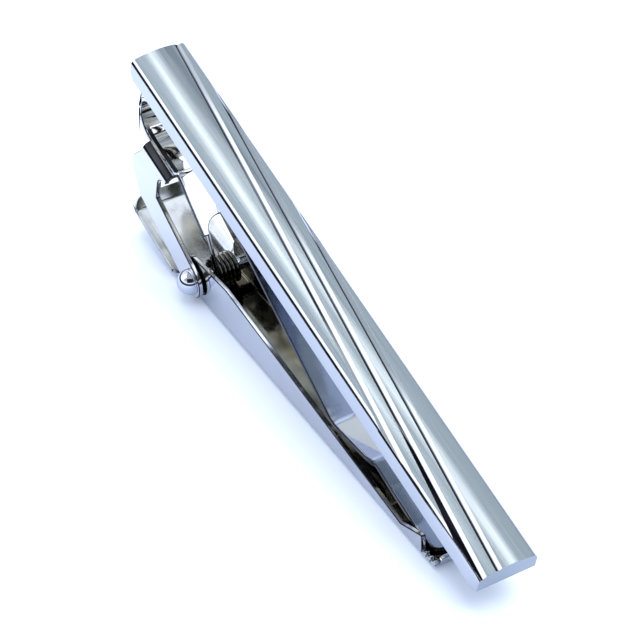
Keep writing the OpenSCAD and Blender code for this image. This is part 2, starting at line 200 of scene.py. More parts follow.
# %% [markdown]
# The outlines of blanks are drawn with straight lines and arcs. `arc` gives the points of an arc, and
# `tangent_angle` tells at which angle a belt round two pulleys leaves them, because a stamped arm between
# two round ends has the outline of such a belt.

# %% Arcs and tangents for outlines
ARC_STEP = math.radians(7.5)


def arc(centre, radius, start, end):
    """Points on an arc, from one angle to another, in radians."""
    steps = max(2, round(abs(end - start) / ARC_STEP))
    return [
        (
            centre[0] + radius * math.cos(start + (end - start) * i / steps),
            centre[1] + radius * math.sin(start + (end - start) * i / steps),
        )
        for i in range(steps + 1)
    ]


def tangent_angle(c0, r0, c1, r1, side):
    """The angle, on both circles, of the belt line from c0 to c1; side 1 is left of the way, -1 right."""
    way = math.atan2(c1[1] - c0[1], c1[0] - c0[0])
    return way + side * math.acos((r0 - r1) / math.hypot(c1[0] - c0[0], c1[1] - c0[1]))


# %% [markdown]
# Four helpers come before the blank. `crease` cuts faces along a line without taking anything away, so
# that they can bend there. `as_object` puts a mesh into the scene. `round_edges` adds a Bevel, because no
# real edge is a perfect corner, and Weighted Normal, which keeps flat faces flat in reflections. And
# `apply_modifiers` turns what the modifiers make into a plain mesh.

# %% Creases, rounded edges and plain meshes
FLAT_ANGLE = math.radians(32)
CREASE_SNAP = 1e-6


def crease(mesh, place, way, keep=lambda face: True):
    """Cuts the faces that keep() allows along a line of the blank."""
    faces = [f for f in mesh.faces if keep(f)]
    edges = {e for f in faces for e in f.edges}
    verts = {v for f in faces for v in f.verts}
    cut = [*faces, *edges, *verts]
    bmesh.ops.bisect_plane(mesh, geom=cut, dist=CREASE_SNAP, plane_co=place, plane_no=way)


def as_object(name, mesh):
    """Puts a bmesh, in millimetres, into the scene as an object in metres."""
    bmesh.ops.transform(mesh, matrix=Matrix.Scale(MM, 4), verts=mesh.verts)
    data = bpy.data.meshes.new(name)
    mesh.to_mesh(data)
    mesh.free()
    piece = bpy.data.objects.new(name, data)
    bpy.context.scene.collection.objects.link(piece)
    return piece


def apply_modifiers(piece):
    """Turns what the modifiers make into the piece's own mesh."""
    graph = bpy.context.evaluated_depsgraph_get()
    graph.update()
    shown = piece.evaluated_get(graph)
    data = bpy.data.meshes.new_from_object(shown, preserve_all_data_layers=True, depsgraph=graph)
    piece.modifiers.clear()
    old, piece.data = piece.data, data
    name = old.name
    bpy.data.meshes.remove(old)
    data.name = name


def round_edges(piece, width, segments=2, angle=FLAT_ANGLE, slot=-1):
    """Rounds the sharp edges by that many millimetres, and shades flats as flats."""
    bevel = piece.modifiers.new("edges", "BEVEL")
    bevel.width = width * MM
    bevel.segments = segments
    bevel.limit_method = "ANGLE"
    bevel.angle_limit = angle
    bevel.use_clamp_overlap = False
    bevel.material = slot
    piece.data.shade_smooth()
    normals = piece.modifiers.new("normals", "WEIGHTED_NORMAL")
    normals.keep_sharp = True


# %% [markdown]
# Now the blank itself: one flat face inside its outline, creased along every bend line, and moved onto
# the bent shape. A sheet part could also be put together from boxes, but then every bend and every
# thickness would have to be kept right by hand. A Solidify modifier gives it the sheet's thickness, and it
# sorts the faces: those right of the route, those left of it, and the sheared rim. The bevel adds the
# rounded edges, and gives them a dark finish: painted shade where the shine is gone.

# %% From a blank to a finished sheet part
SHEAR_ROUND = 0.085
RIGHT, LEFT, CUT, SHADE = 0, 1, 2, 3
DISH_SHARE = 0.3
ON_MIDDLE, AT_FOLD = 1e-9, 1e-5


def flat_sheet(s, v):
    """How deep the sheet is pressed in at a place on the blank: nowhere."""
    return 0.0


def bent_sheet(name, outline, route, place, fold_from, fold_radius, fold_run, fold_until, dish=flat_sheet):
    """Bends a blank. outline is one half of it, from v = 0 round to v = 0, in (length, width) points.
    Beyond fold_from from the middle the sheet folds by a quarter turn, to the right-hand side of the
    straight run fold_run. It stays flat past a notch that starts at the length fold_until and widens at
    45 degrees."""
    mesh = bmesh.new()
    half = [Vector((s, v, 0)) for s, v in outline]
    other = [Vector((p.x, -p.y, 0)) for p in reversed(half) if p.y > ON_MIDDLE]
    mesh.faces.new([mesh.verts.new(p) for p in half + other])

    def unfolded(face):
        middle = face.calc_center_median()
        return abs(middle.y) - fold_from <= max(0, middle.x - fold_until)

    fold_length = fold_radius * math.pi / 2
    for side in (-1, 1):
        for i in range(BEND_STEPS + 1):
            crease(mesh, (0, side * (fold_from + fold_length * i / BEND_STEPS), 0), (0, 1, 0))
    for step in range(1, DISH_STEPS):
        for side in (-1, 1):
            share = 1 - DISH_SHARE * step / DISH_STEPS
            crease(mesh, (0, side * fold_from * share, 0), (0, 1, 0), unfolded)
    for s in route.bend_lines():
        crease(mesh, (s, 0, 0), (1, 0, 0), unfolded)
    start_s, _, start, way, _, _ = route.runs[fold_run]
    turned_to = Vector((way.y, -way.x))
    for vert in mesh.verts:
        s, v = vert.co.x, vert.co.y
        beyond = abs(v) - fold_from
        if beyond <= max(AT_FOLD, s - fold_until):
            at, ahead = route.at(s)
            at = at + Vector((ahead.y, -ahead.x)) * dish(s, v)
            y = v
        else:
            turn = min(beyond / fold_radius, math.pi / 2)
            depth = fold_radius * (1 - math.cos(turn)) + max(0.0, beyond - fold_length)
            at = start + way * (s - start_s) + turned_to * depth
            y = math.copysign(fold_from + fold_radius * math.sin(turn), v)
        vert.co = place(at.x, y, at.y)
    piece = as_object(name, mesh)
    for _ in (RIGHT, LEFT, CUT, SHADE):
        piece.data.materials.append(None)
    solid = piece.modifiers.new("thickness", "SOLIDIFY")
    solid.thickness = SHEET * MM
    solid.offset = 0
    solid.use_even_offset = True
    solid.material_offset = LEFT
    solid.material_offset_rim = CUT
    # the rounded edges take the dark slot: painted shade
    round_edges(piece, SHEAR_ROUND, 3, slot=SHADE)
    apply_modifiers(piece)
    blank = [round(side, 1) for side in (route.length, 2 * max(v for _, v in outline))]
    print(name, "from a flat blank of", blank, "mm has", len(piece.data.polygons), "faces")
    return piece


# %% [markdown]
# ## Upper jaw
# One strip of sheet makes nearly the whole upper half of the grip: a narrow nose, a crest, a bend that
# presses the cloth down, a long run soldered under the bar, a curl at the tail, and a web that folds down
# at both sides into cheeks for the hinge pin. A tongue with an arched end goes on from the web. Separate
# pieces for curl, web and cheeks would be easier to draw, but the reflections would break where they
# meet. So it is one blank here too. First comes its route, from the nose to the tongue.

# %% Route of the upper jaw
SOLDER = 0.1
CURL_X, WEB_DROP, WEB_END = 3.75, 4.95, 8.5
LIFT_X, CREST_DROP = 18.2, 3.85
TONGUE_L, TONGUE_W, TONGUE_SLOPE, ARCH_R = 6.0, 4.2, math.radians(26), 1.5
EYE_R = 1.65
ramp_start_x = 0.87 * JAW_L
wall_peak_x = 0.14 * JAW_L


def wall_at(x):
    """Height of the lower jaw's walls, behind the teeth."""
    return WALL_H + (WALL_LOW - WALL_H) * (x - wall_peak_x) / (ramp_start_x - wall_peak_x)


back_z = -SOLDER - SHEET / 2
curl_r = (WEB_DROP + back_z) / 2
dip_x = 0.585 * JAW_L
dip = jaw_to_bar(dip_x, wall_at(dip_x) + GRIP_GAP + SHEET / 2)
# the next three are shares of the jaw's length
CREST_AT, NOSE_LOW_AT, NOSE_END_AT = 0.735, 0.9, 0.975
crest = (jaw_to_bar(CREST_AT * JAW_L, PIN_H)[0], -CREST_DROP)
nose_low = jaw_to_bar(NOSE_LOW_AT * JAW_L, WALL_LOW + SHEET / 2)
nose_end = jaw_to_bar(NOSE_END_AT * JAW_L, SHEET + NOSE_GAP + SHEET / 2)
# a thousandth less leaves a hair of straight sheet between the curl's two bends
curl_bend = curl_r - 0.001
tongue_end = (WEB_END + TONGUE_L * math.cos(TONGUE_SLOPE), -WEB_DROP - TONGUE_L * math.sin(TONGUE_SLOPE))
upper_route = Route(
    [
        nose_end,
        nose_low,
        crest,
        dip,
        (LIFT_X, back_z),
        (CURL_X - curl_r, back_z),
        (CURL_X - curl_r, -WEB_DROP),
        (WEB_END, -WEB_DROP),
        tongue_end,
    ],
    [5 * SHEET, 4 * SHEET, 5 * SHEET, 6 * SHEET, curl_bend, curl_bend, 3 * SHEET],
)
print("the upper jaw's route, in mm:", round(upper_route.length, 1), "in", len(upper_route.runs), "runs")

# %% [markdown]
# The cheeks hang from the web by a fold of a quarter turn. On the flat blank they lie beside it, so a
# point of the cheek is found by unrolling that fold. A cheek's outline is a belt round three pulleys: the
# rear, the elbow, and the eye that holds the pin. It ends in a round crotch under the web, which keeps the
# sheet from tearing there.

# %% Cheeks of the upper jaw
CREST_RUN, WEB_RUN = 3, 12
fold_from = STRIP_W / 2
fold_radius = CHEEK_MID - fold_from
fold_length = fold_radius * math.pi / 2


def cheek_point(x, z):
    """A point of the cheek, given in the bar's frame, on the flat blank."""
    return (upper_route.where_x(x, WEB_RUN), fold_from + fold_length - fold_radius - WEB_DROP - z)


rear_x = CURL_X + 0.25 * curl_r
rear, rear_r = (rear_x, -WEB_DROP - 1.55 * curl_r), 2.0
elbow, elbow_r = (rear_x + 0.3 * curl_r, -WEB_DROP - 2.25 * curl_r), 1.7
eye = (PIN_X, -PIN_DROP)
cheek_from = rear_x - SHEET
fold_bottom = -WEB_DROP - fold_radius
crotch_r = 1.4
front_x = WEB_END - crotch_r

leave = math.atan2(fold_bottom - rear[1], cheek_from - rear[0])
leave += math.acos(rear_r / math.hypot(fold_bottom - rear[1], cheek_from - rear[0]))
to_elbow = tangent_angle(rear, rear_r, elbow, elbow_r, -1)
to_eye = tangent_angle(elbow, elbow_r, eye, EYE_R, -1)
from_eye = tangent_angle(elbow, elbow_r, eye, EYE_R, 1)
arm_top = [elbow[i] + elbow_r * (math.cos(from_eye), math.sin(from_eye))[i] for i in (0, 1)]
arm_way = (eye[1] - elbow[1]) / (eye[0] - elbow[0])
crotch_low = (front_x, arm_top[1] + (front_x - arm_top[0]) * arm_way)
cheek_outline = [
    (cheek_from, fold_bottom),
    *arc(rear, rear_r, leave, to_elbow + 2 * math.pi),
    *arc(elbow, elbow_r, to_elbow + 2 * math.pi, to_eye + 2 * math.pi),
    *arc(eye, EYE_R, to_eye, from_eye),
    crotch_low,
    *arc((WEB_END, fold_bottom - crotch_r), crotch_r, math.pi, math.pi / 2),
]
print("a cheek has", len(cheek_outline), "points")

# %% [markdown]
# Between its two folds the web is pressed in a little, as a shallow dish. On matt metal nobody would see
# that, but a mirror shows it at once as a bend in what it reflects. A sculpting brush could press it in,
# but a rule is easier to change: the dish has one depth, and `ease` fades it out on all sides.

# %% Dish of the web
WEB_DISH, DISH_FROM, DISH_TO = 0.2, 1.75, 2.35


def ease(share):
    """0 below 0, 1 above 1, and smooth between."""
    share = min(1.0, max(0.0, share))
    return share * share * (3 - 2 * share)


def web_dish(s, v):
    """The web is pressed in a little between its two folds, and fades out into curl and tongue."""
    start_s, end_s = upper_route.runs[WEB_RUN][:2]
    along = ease((s - start_s + curl_r) / curl_r) * ease((end_s - s + SHEET) / (2 * SHEET))
    return WEB_DISH * along * (1 - ease((abs(v) - DISH_FROM) / (DISH_TO - DISH_FROM)))


print("the web is pressed in by", WEB_DISH, "mm")

# %% [markdown]
# Half of the blank's outline, from the nose's middle round to the middle of the tongue's arch, is enough:
# the other half is its mirror image.

# %% Blank of the upper jaw, bent
nose_w = JAW_W - 2 * SHEET - 2 * NOSE_GAP
nose_corner = nose_w / 4
shoulder_s = sum(upper_route.runs[CREST_RUN][:2]) / 2 - SHEET
shoulder_l = 3 * SHEET
web_from_s = upper_route.where_x(cheek_from, WEB_RUN)
web_end_s = upper_route.where_x(WEB_END, WEB_RUN)
tip_s = upper_route.length
upper_outline = [
    (0, 0),
    *arc((nose_corner, nose_w / 2 - nose_corner), nose_corner, math.pi, math.pi / 2),
    (shoulder_s, nose_w / 2),
    (shoulder_s + shoulder_l, STRIP_W / 2),
    (web_from_s, STRIP_W / 2),
    *[cheek_point(*p) for p in cheek_outline],
    (web_end_s, STRIP_W / 2),
    (web_end_s, TONGUE_W / 2),
    (tip_s, TONGUE_W / 2),
    *arc((tip_s, 0), ARCH_R, math.pi / 2, math.pi),
]
upper_jaw = bent_sheet(
    "upper_jaw_sheet",
    upper_outline,
    upper_route,
    from_bar,
    fold_from,
    fold_radius,
    WEB_RUN,
    math.inf,
    web_dish,
)

# %% [markdown]
# Each face then gets the slot of its finish. The sheet is bright all round, apart from its hollow sides:
# the inside of the curl, of the web and of the cheeks has an olive finish whose patches run to near black,
# painted shade and painted reflection in the hollows. The long side edges of the strip and the tongue,
# and the outside of the two folds, are painted dark as well: in the photograph they mirror something dark,
# and so small a face would catch it only by luck in a made-up room, so the dark reflection is painted.

# %% Sort the upper jaw's faces
BRIGHT, OLIVE_PAINTED_SHADE = 0, 1
LOOKS_SIDEWAYS = 0.7
FOLD_SIDE, FOLD_UP = 0.15, 0.4
to_bar = bar_frame.inverted()
for face in upper_jaw.data.polygons:
    x, _, z = to_bar @ face.center
    under_curl = x < LIFT_X and z < SHEET - WEB_DROP
    faces_to = to_bar.to_3x3() @ face.normal
    size = faces_to.length
    in_fold = under_curl and abs(faces_to.y) > FOLD_SIDE * size and faces_to.z > FOLD_UP * size
    # the strip's long sheared edges get a painted dark reflection, and the outside of the folds painted
    # shade
    if face.material_index == CUT and abs(face.normal.y) > LOOKS_SIDEWAYS and x > CURL_X:
        face.material_index = SHADE
    elif face.material_index == LEFT and in_fold:
        face.material_index = SHADE
    # hollow sides: the olive finish, painted shade and painted reflection
    elif face.material_index == RIGHT and under_curl:
        face.material_index = OLIVE_PAINTED_SHADE
    elif face.material_index == LEFT and (under_curl or x > CURL_X - SHEET):
        face.material_index = BRIGHT
print("dark faces:", sum(face.material_index == SHADE for face in upper_jaw.data.polygons))
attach(upper_jaw, UPPER)
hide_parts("upper_jaw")

# %% [markdown]
# ## Lower jaw
# The second stamping is a channel. Its floor runs from a small turned-up lip at the tip, flat on the
# table, to behind the pin, and then rises as the thumb tail. Its walls carry one ramp tooth and a few saw
# teeth, rise towards the hinge, and end in a round eye. The same `bent_sheet` makes it: on this route the
# right-hand side of the floor is up, so the walls fold upwards. Small notches where a wall's fold ends
# let the sheet bend there without tearing, as on the real stamping.

# %% Route of the lower jaw
LIP_H = 0.95
TAIL_L, TAIL_RISE, TAIL_LIP, LIP_TURN, TAIL_CORNER = 12.3, math.radians(17), 1.4, math.radians(30), 1.5
RAMP_H = 2.3
NECK_L = 1.6 * PIN_H
tail_end = Vector((-TAIL_L, SHEET / 2 + (TAIL_L - PIN_H) * math.tan(TAIL_RISE)))
tail_knee = tail_end + TAIL_LIP * Vector((math.cos(TAIL_RISE), -math.sin(TAIL_RISE)))
tail_tip = tail_knee + TAIL_LIP * Vector((-math.cos(TAIL_RISE + LIP_TURN), math.sin(TAIL_RISE + LIP_TURN)))
lower_route = Route(
    [(JAW_L - SHEET / 2, LIP_H), (JAW_L - SHEET / 2, SHEET / 2), (-PIN_H, SHEET / 2), tail_knee, tail_tip],
    [SHEET, 4 * SHEET, 2 * SHEET],
)
print("the lower jaw's route, in mm:", round(lower_route.length, 1))

# %% [markdown]
# A wall is drawn as it looks from the side, and `wall_point` unrolls each of its points onto the blank.
# The teeth are no parts of their own: on the real clip they are cut with the outline, so they are only
# a few more points of it here.

# %% Walls, teeth and blank of the lower jaw, bent
FLOOR_RUN = 2
wall_fold_r = SHEET
wall_fold_from = JAW_W / 2 - 1.5 * SHEET
wall_fold_l = wall_fold_r * math.pi / 2


def wall_point(x, z):
    """A point of the wall, given in the jaw's frame, on the flat blank."""
    above_fold = max(z - SHEET / 2 - wall_fold_r, -wall_fold_l)
    return (lower_route.where_x(x, FLOOR_RUN), wall_fold_from + wall_fold_l + above_fold)


SAW_TEETH = 3
NOTCH_AT, NECK_AT = -0.45 * PIN_H, -0.7 * PIN_H
EYE_END = math.radians(220)
ramp_top_x = 0.947 * JAW_L
saw_x = 0.953 * JAW_L
saw_step = (JAW_L - saw_x) / SAW_TEETH
saw_base = WALL_LOW - WALL_LOW / 3
teeth = []
for tooth in range(SAW_TEETH, 0, -1):
    teeth.append(wall_point(saw_x + saw_step * tooth, WALL_LOW))
    teeth.append(wall_point(saw_x + saw_step * (tooth - 1), saw_base))
floor_s = lower_route.runs[FLOOR_RUN][0]
notch_s = lower_route.where_x(NOTCH_AT, FLOOR_RUN)
neck_s = lower_route.where_x(NECK_AT, FLOOR_RUN)
wide_s = lower_route.where_x(-NECK_L, FLOOR_RUN)
tail_half = CHEEK_MID + SHEET / 2
end_s = lower_route.length
lower_outline = [
    (0, 0),
    (0, wall_fold_from - SHEET / 2),
    (SHEET / 2, wall_fold_from),
    (floor_s, wall_fold_from),
    wall_point(JAW_L, WALL_LOW - SHEET),
    *teeth,
    wall_point(saw_x, RAMP_H),
    wall_point(ramp_top_x, RAMP_H),
    wall_point(ramp_start_x, WALL_LOW),
    wall_point(wall_peak_x, WALL_H),
    *[wall_point(*p) for p in arc((0, PIN_H), PIN_H, math.pi / 2, EYE_END)],
    (notch_s, wall_fold_from),
    (neck_s, wall_fold_from),
    (neck_s + SHEET, JAW_W / 2),
    (wide_s, JAW_W / 2),
    (wide_s + SHEET, tail_half),
    *arc((end_s - TAIL_CORNER, tail_half - TAIL_CORNER), TAIL_CORNER, math.pi / 2, 0),
    (end_s, 0),
]
lower_jaw = bent_sheet(
    "lower_jaw_sheet",
    lower_outline,
    lower_route,
    from_jaw,
    wall_fold_from,
    wall_fold_r,
    FLOOR_RUN,
    notch_s,
)

# %% [markdown]
# On this route the inside of the channel is right-hand and gets the olive finish with near-black patches,
# painted shade and painted reflection, and the outside is bright. The top of the thumb tail gets a
# finish of its own: rougher and scratched, as rubbed by fingers, with a lighter, patchy tint that is
# painted light on its up-facing faces. The rounded edges of the teeth keep the rim's bright, scratched
# finish instead of the painted shade.

# %% Sort the lower jaw's faces
TAIL_TOP = 4
LOOKS_UP = 0.5
for face in lower_jaw.data.polygons:
    # up-facing faces of the tail: a rubbed finish with a lighter tint, painted light
    if face.center.x < PIN.x * MM - NECK_L * MM and face.normal.z > LOOKS_UP:
        face.material_index = TAIL_TOP
    # the teeth's rounded edges keep the rim's bright finish, without the painted shade
    elif face.material_index == SHADE and face.center.x > (PIN.x + saw_x) * MM:
        face.material_index = CUT
print("worn faces:", sum(face.material_index == TAIL_TOP for face in lower_jaw.data.polygons))
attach(lower_jaw, LOWER)
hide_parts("lower_jaw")

# %% [markdown]
# ## Bar
# The bar's face is a shallow crown, part of a wide cylinder, with three V grooves that slant across it.
# The middle groove widens a little towards the tip. Booleans could cut the grooves, but the thin stray
# faces that they leave would show in a mirror finish. So one flat rectangle is cut along every line that
# matters: narrow strips for the crown, the bevels, and three lines for each groove. Then each corner is
# lifted to the height that the crown and the grooves give there, and the sides are drawn down to the
# bar's back. The bevel is two narrow facets, the lower one steeper: the lower mirrors the dark horizon
# and the upper the bright wall, which draws the thin dark and white lines along the bar's edge.

# %% Heights over the bar's face
BEVEL_W = 0.3
ARRIS_W, ARRIS_DROP = 0.14, 0.25
GROOVE_W, GROOVE_DEPTH = 0.6, 0.16
GROOVE_MIDS = (0.33 * BAR_L, 0.574 * BAR_L, 0.824 * BAR_L)
GROOVE_SLANT = math.atan(1.03 * BAR_W / BAR_L)
CROWN_STRIPS = 32
WIDENED, WIDER_FROM, WIDER_BY = GROOVE_MIDS[1], 44, 0.4
crown_top = BAR_SIDE + BAR_CROWN
crown_r = (BAR_W * BAR_W / 4 + BAR_CROWN * BAR_CROWN) / (2 * BAR_CROWN)
bevel_y = BAR_W / 2 - BEVEL_W


def crown_z(y):
    """Height of the crown at a distance from the middle."""
    return crown_top - crown_r + math.sqrt(crown_r * crown_r - y * y)


def from_groove(x, y, mid):
    """Distance from the middle line of the groove that crosses the face's middle at mid."""
    return (x - mid) * math.sin(GROOVE_SLANT) + y * math.cos(GROOVE_SLANT)


def groove_reach(x, off, mid):
    """How far a groove reaches from its middle line; the middle groove widens towards the tip."""
    wider = WIDER_BY * max(0, x - WIDER_FROM) / (BAR_L - WIDER_FROM)
    return GROOVE_W / 2 + (wider if mid == WIDENED and off < 0 else 0)


def groove_share(x, y, mid):
    """1 in the middle of a groove, 0 along its edges, negative outside."""
    off = from_groove(x, y, mid)
    return 1 - abs(off) / groove_reach(x, off, mid)


def face_z(x, y):
    """Height of the bar's face: the crown less its grooves, or the bevel where that is lower."""
    cut = max(groove_share(x, y, mid) for mid in GROOVE_MIDS)
    grooved = crown_z(y) - GROOVE_DEPTH * max(0.0, cut)
    out = abs(y) - bevel_y
    if out <= 0:
        return grooved
    arris_z = BAR_SIDE - BEVEL_W + ARRIS_DROP
    bevel = crown_z(bevel_y) + (arris_z - crown_z(bevel_y)) * min(1, out / (BEVEL_W - ARRIS_W))
    arris = ARRIS_DROP * max(0, out - BEVEL_W + ARRIS_W) / ARRIS_W
    return min(grooved, bevel - arris)


print("crown radius, in mm:", round(crown_r, 2), "height at the bevel:", round(crown_z(bevel_y), 2))

# %% [markdown]
# Now the cuts. A crease runs along the middle and both sides of each groove, and one more where the middle
# groove widens. The mesh stays in millimetres until the bar is finished.

# %% Cut the bar's face
bar_mesh = bmesh.new()
half_w = BAR_W / 2
across = Vector((math.sin(GROOVE_SLANT), math.cos(GROOVE_SLANT), 0))
bar_mesh.faces.new([bar_mesh.verts.new(p) for p in [
    (0, -half_w, 0),
    (BAR_L, -half_w, 0),
    (BAR_L, half_w, 0),
    (0, half_w, 0),
]])
for mid in GROOVE_MIDS:
    for side in (-1, 0, 1):
        off = side * GROOVE_W / 2
        crease(bar_mesh, Vector((mid, 0, 0)) + across * off, across)
wider_way = Vector((math.cos(GROOVE_SLANT), -math.sin(GROOVE_SLANT), 0))
wider_way -= across * WIDER_BY / (BAR_L - WIDER_FROM)
wider_start = Vector((WIDENED, 0, 0)) - across * GROOVE_W / 2
wider_start += Vector((1, -math.tan(GROOVE_SLANT), 0)) * (WIDER_FROM - wider_start.x)
crease(bar_mesh, (WIDER_FROM, 0, 0), (1, 0, 0))
crease(
    bar_mesh,
    wider_start,
    Vector((-wider_way.y, wider_way.x, 0)),
    lambda face: face.calc_center_median().x > WIDER_FROM,
)
for i in range(CROWN_STRIPS + 1):
    crease(bar_mesh, (0, bevel_y * (2 * i / CROWN_STRIPS - 1), 0), (0, 1, 0))
for side in (-1, 1):
    crease(bar_mesh, (0, side * (half_w - ARRIS_W), 0), (0, 1, 0))
print("the face is cut into", len(bar_mesh.faces), "flat pieces")

# %% [markdown]
# The face is lifted, its outline drawn down to the back, and the back closed. Both ends are chamfered
# below, where the real bar clears the strip. A narrow Bevel then rounds every hard edge by two hundredths
# of a millimetre, which is enough to catch a thin line of light.

# %% Lift and close the bar
END_CHAMFER = 0.7 / math.sqrt(2)
END_SNAP = 1e-5
BAR_EDGE, BAR_FLAT_ANGLE = 0.02, math.radians(16)
rim = [e for e in bar_mesh.edges if e.is_boundary]
for vert in bar_mesh.verts:
    vert.co.z = face_z(vert.co.x, vert.co.y)
skirt = bmesh.ops.extrude_edge_only(bar_mesh, edges=rim)["geom"]
low = [v for v in skirt if isinstance(v, bmesh.types.BMVert)]
for vert in low:
    vert.co.z = 0
bmesh.ops.contextual_create(bar_mesh, geom=[e for e in bar_mesh.edges if e.is_boundary])
for end, way in ((0, -1), (BAR_L, 1)):
    cut = bmesh.ops.bisect_plane(
        bar_mesh,
        geom=[*bar_mesh.verts, *bar_mesh.edges, *bar_mesh.faces],
        dist=END_SNAP,
        plane_co=(end - way * END_CHAMFER, 0, 0),
        plane_no=(way, 0, -1),
        clear_outer=True,
    )
    bmesh.ops.contextual_create(bar_mesh, geom=[e for e in bar_mesh.edges if e.is_boundary])
bmesh.ops.recalc_face_normals(bar_mesh, faces=bar_mesh.faces)
bar_data = bpy.data.meshes.new("bar_metal")
bar_mesh.to_mesh(bar_data)
bar_mesh.free()
bar = bpy.data.objects.new("bar_metal", bar_data)
bpy.context.scene.collection.objects.link(bar)
round_edges(bar, BAR_EDGE / MM, 2, BAR_FLAT_ANGLE)
apply_modifiers(bar)

# %% [markdown]
# A face of the finished mesh is satin where it lies on the crown, away from the grooves and the bevels.
# The two finishes meet along crisp lines on the real bar, so whole faces are sorted, where a painted mask
# would blur. The back has a plainer finish, and its dark tint is painted shade under the bar. One facet
# carries a painted dark reflection: the near side of the middle groove is black over its last part in
# the photograph, and this room has nothing that it could mirror there, so its finish is painted
# near black.

# %% Sort the bar's faces and set it in place
SATIN, POLISHED, BACK, PAINTED_DARK_FACET = 0, 1, 2, 3
PAINTED_DARK_FROM = 46
CLEAR_SHARE, FACET_SHARE, FACET_OFF = 0.1, 0.04, -0.02
CROWN_UP, FACET_UP, BACK_DOWN = 0.8, 0.7, -0.9
END_MARGIN, CROWN_ABOVE = 0.05, 1
for face in bar.data.polygons:
    x, y, z = face.center
    up = face.normal.z
    clear = max(groove_share(x, y, mid) for mid in GROOVE_MIDS) < CLEAR_SHARE
    off_ends = END_MARGIN < x < BAR_L - END_MARGIN
    on_crown = up > CROWN_UP and abs(y) < bevel_y and off_ends and z > CROWN_ABOVE
    face.material_index = SATIN if clear and on_crown else BACK if up < BACK_DOWN else POLISHED
    near_facet = from_groove(x, y, WIDENED) < FACET_OFF and groove_share(x, y, WIDENED) > FACET_SHARE
    # the near facet of the middle groove towards the tip gets a painted dark reflection
    if x > PAINTED_DARK_FROM and near_facet and up > FACET_UP and abs(y) < bevel_y + BEVEL_W - ARRIS_W:
        face.material_index = PAINTED_DARK_FACET
bar.data.transform(bar_frame)
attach(bar, UPPER)
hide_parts("face_bar")
print("the bar has", len(bar.data.polygons), "faces")

# %% [markdown]
# ## Hinge pin
# A riveted pin is a turned shape, so half its profile is drawn once and spun. A cylinder with two balls
# would do from afar, but they would cross each other inside, and this is one closed skin. The heads are
# nearly half balls, with a small undercut where they meet the cheek, for a dark line round them. A flat of
# two hundredths of a millimetre, too small to see, closes each head.

# %% Profile of the pin, spun
PIN_D, HEAD_D, HEAD_H = 1.3, 2.5, 1.3
SPIN_STEPS = 48
head_foot = CHEEK_MID + SHEET / 2
head_r = (HEAD_D * HEAD_D / 4 + HEAD_H * HEAD_H) / (2 * HEAD_H)
head_centre = head_foot + HEAD_H - head_r
FLAT_R, UNDERCUT = 0.02, 0.06
PIN_WELD, PIN_EDGE = 1e-3, 0.04
flat_angle = math.asin(FLAT_R / head_r)
foot_angle = math.acos((head_foot + UNDERCUT - head_centre) / head_r)
DOME_STEPS = 14
profile = [(0.0, head_centre + head_r * math.cos(flat_angle))]
for i in range(DOME_STEPS + 1):
    angle = flat_angle + (foot_angle - flat_angle) * i / DOME_STEPS
    profile.append((head_r * math.sin(angle), head_centre + head_r * math.cos(angle)))
profile.append((head_r * math.sin(foot_angle) - UNDERCUT, head_foot))
profile.append((PIN_D / 2, head_foot))
whole = profile + [(r, -y) for r, y in reversed(profile)]
pin_mesh = bmesh.new()
line = [pin_mesh.verts.new((r, y, 0)) for r, y in whole]
for a, b in zip(line, line[1:]):
    pin_mesh.edges.new((a, b))
bmesh.ops.spin(
    pin_mesh,
    geom=[*pin_mesh.verts, *pin_mesh.edges],
    cent=(0, 0, 0),
    axis=(0, 1, 0),
    angle=2 * math.pi,
    steps=SPIN_STEPS,
    use_merge=True,
)
bmesh.ops.remove_doubles(pin_mesh, verts=pin_mesh.verts, dist=PIN_WELD)
bmesh.ops.recalc_face_normals(pin_mesh, faces=pin_mesh.faces)
bmesh.ops.translate(pin_mesh, vec=PIN, verts=pin_mesh.verts)
pin = as_object("rivet_pin", pin_mesh)
round_edges(pin, PIN_EDGE)
apply_modifiers(pin)
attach(pin, UPPER)
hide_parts("hinge_pin")
print("the pin is", round(2 * (head_foot + HEAD_H), 2), "mm long over its heads")

# %% [markdown]
# ## Torsion spring
# A wire that follows a rule is a job for Geometry Nodes. A Screw modifier could wind the coil too, but it
# couldn't add two straight legs that leave it at given angles. Here a row of points is laid out by their
# number: the first and the last are the ends of the two legs, and all the others climb round the pin.
# `add` puts a node in a tree and feeds its sockets in order, from a number or from another node's output,
# so that a tree reads almost like a sum. It serves the materials too.

# %% A short way to write node trees
def add(tree, kind, *values, out=0, **settings):
    """Adds a node, feeds its inputs in order (None leaves one alone), and gives back an output."""
    made = tree.nodes.new(kind)
    for name, value in settings.items():
        setattr(made, name, value)
    for socket, value in zip(made.inputs, values):
        if isinstance(value, bpy.types.NodeSocket):
            tree.links.new(value, socket)
        elif value is not None:
            socket.default_value = value
    return made.outputs[out]


def sum_of(tree, kind, *values):
    """One Math node, for ADD, MULTIPLY, COSINE and the like."""
    return add(tree, "ShaderNodeMath", *values, operation=kind)


# %% [markdown]
# The wire is wound tight, curl against curl, as on the photographed spring. Its legs leave the coil
# straight: one presses up under the tongue, the other lies on the thumb tail. Where they point follows
# from what they touch.

# %% Angles and lengths of the wire
WIRE_D, COIL_D, COIL_TURNS = 0.4, 2.7, 5
UP_LEG_L, DOWN_LEG_L, SPRING_TOUCH = 6.2, 6.0, 0.03
PITCH = 1.04 * WIRE_D
RINGS_A_TURN, SIDES_OF_WIRE = 40, 16


def leg_dip(rest, leg):
    """How much a leg that starts on the coil leans, to rest at that distance from the pin's middle."""
    return math.asin(rest / math.hypot(COIL_D / 2, leg)) - math.atan2(COIL_D / 2, leg)


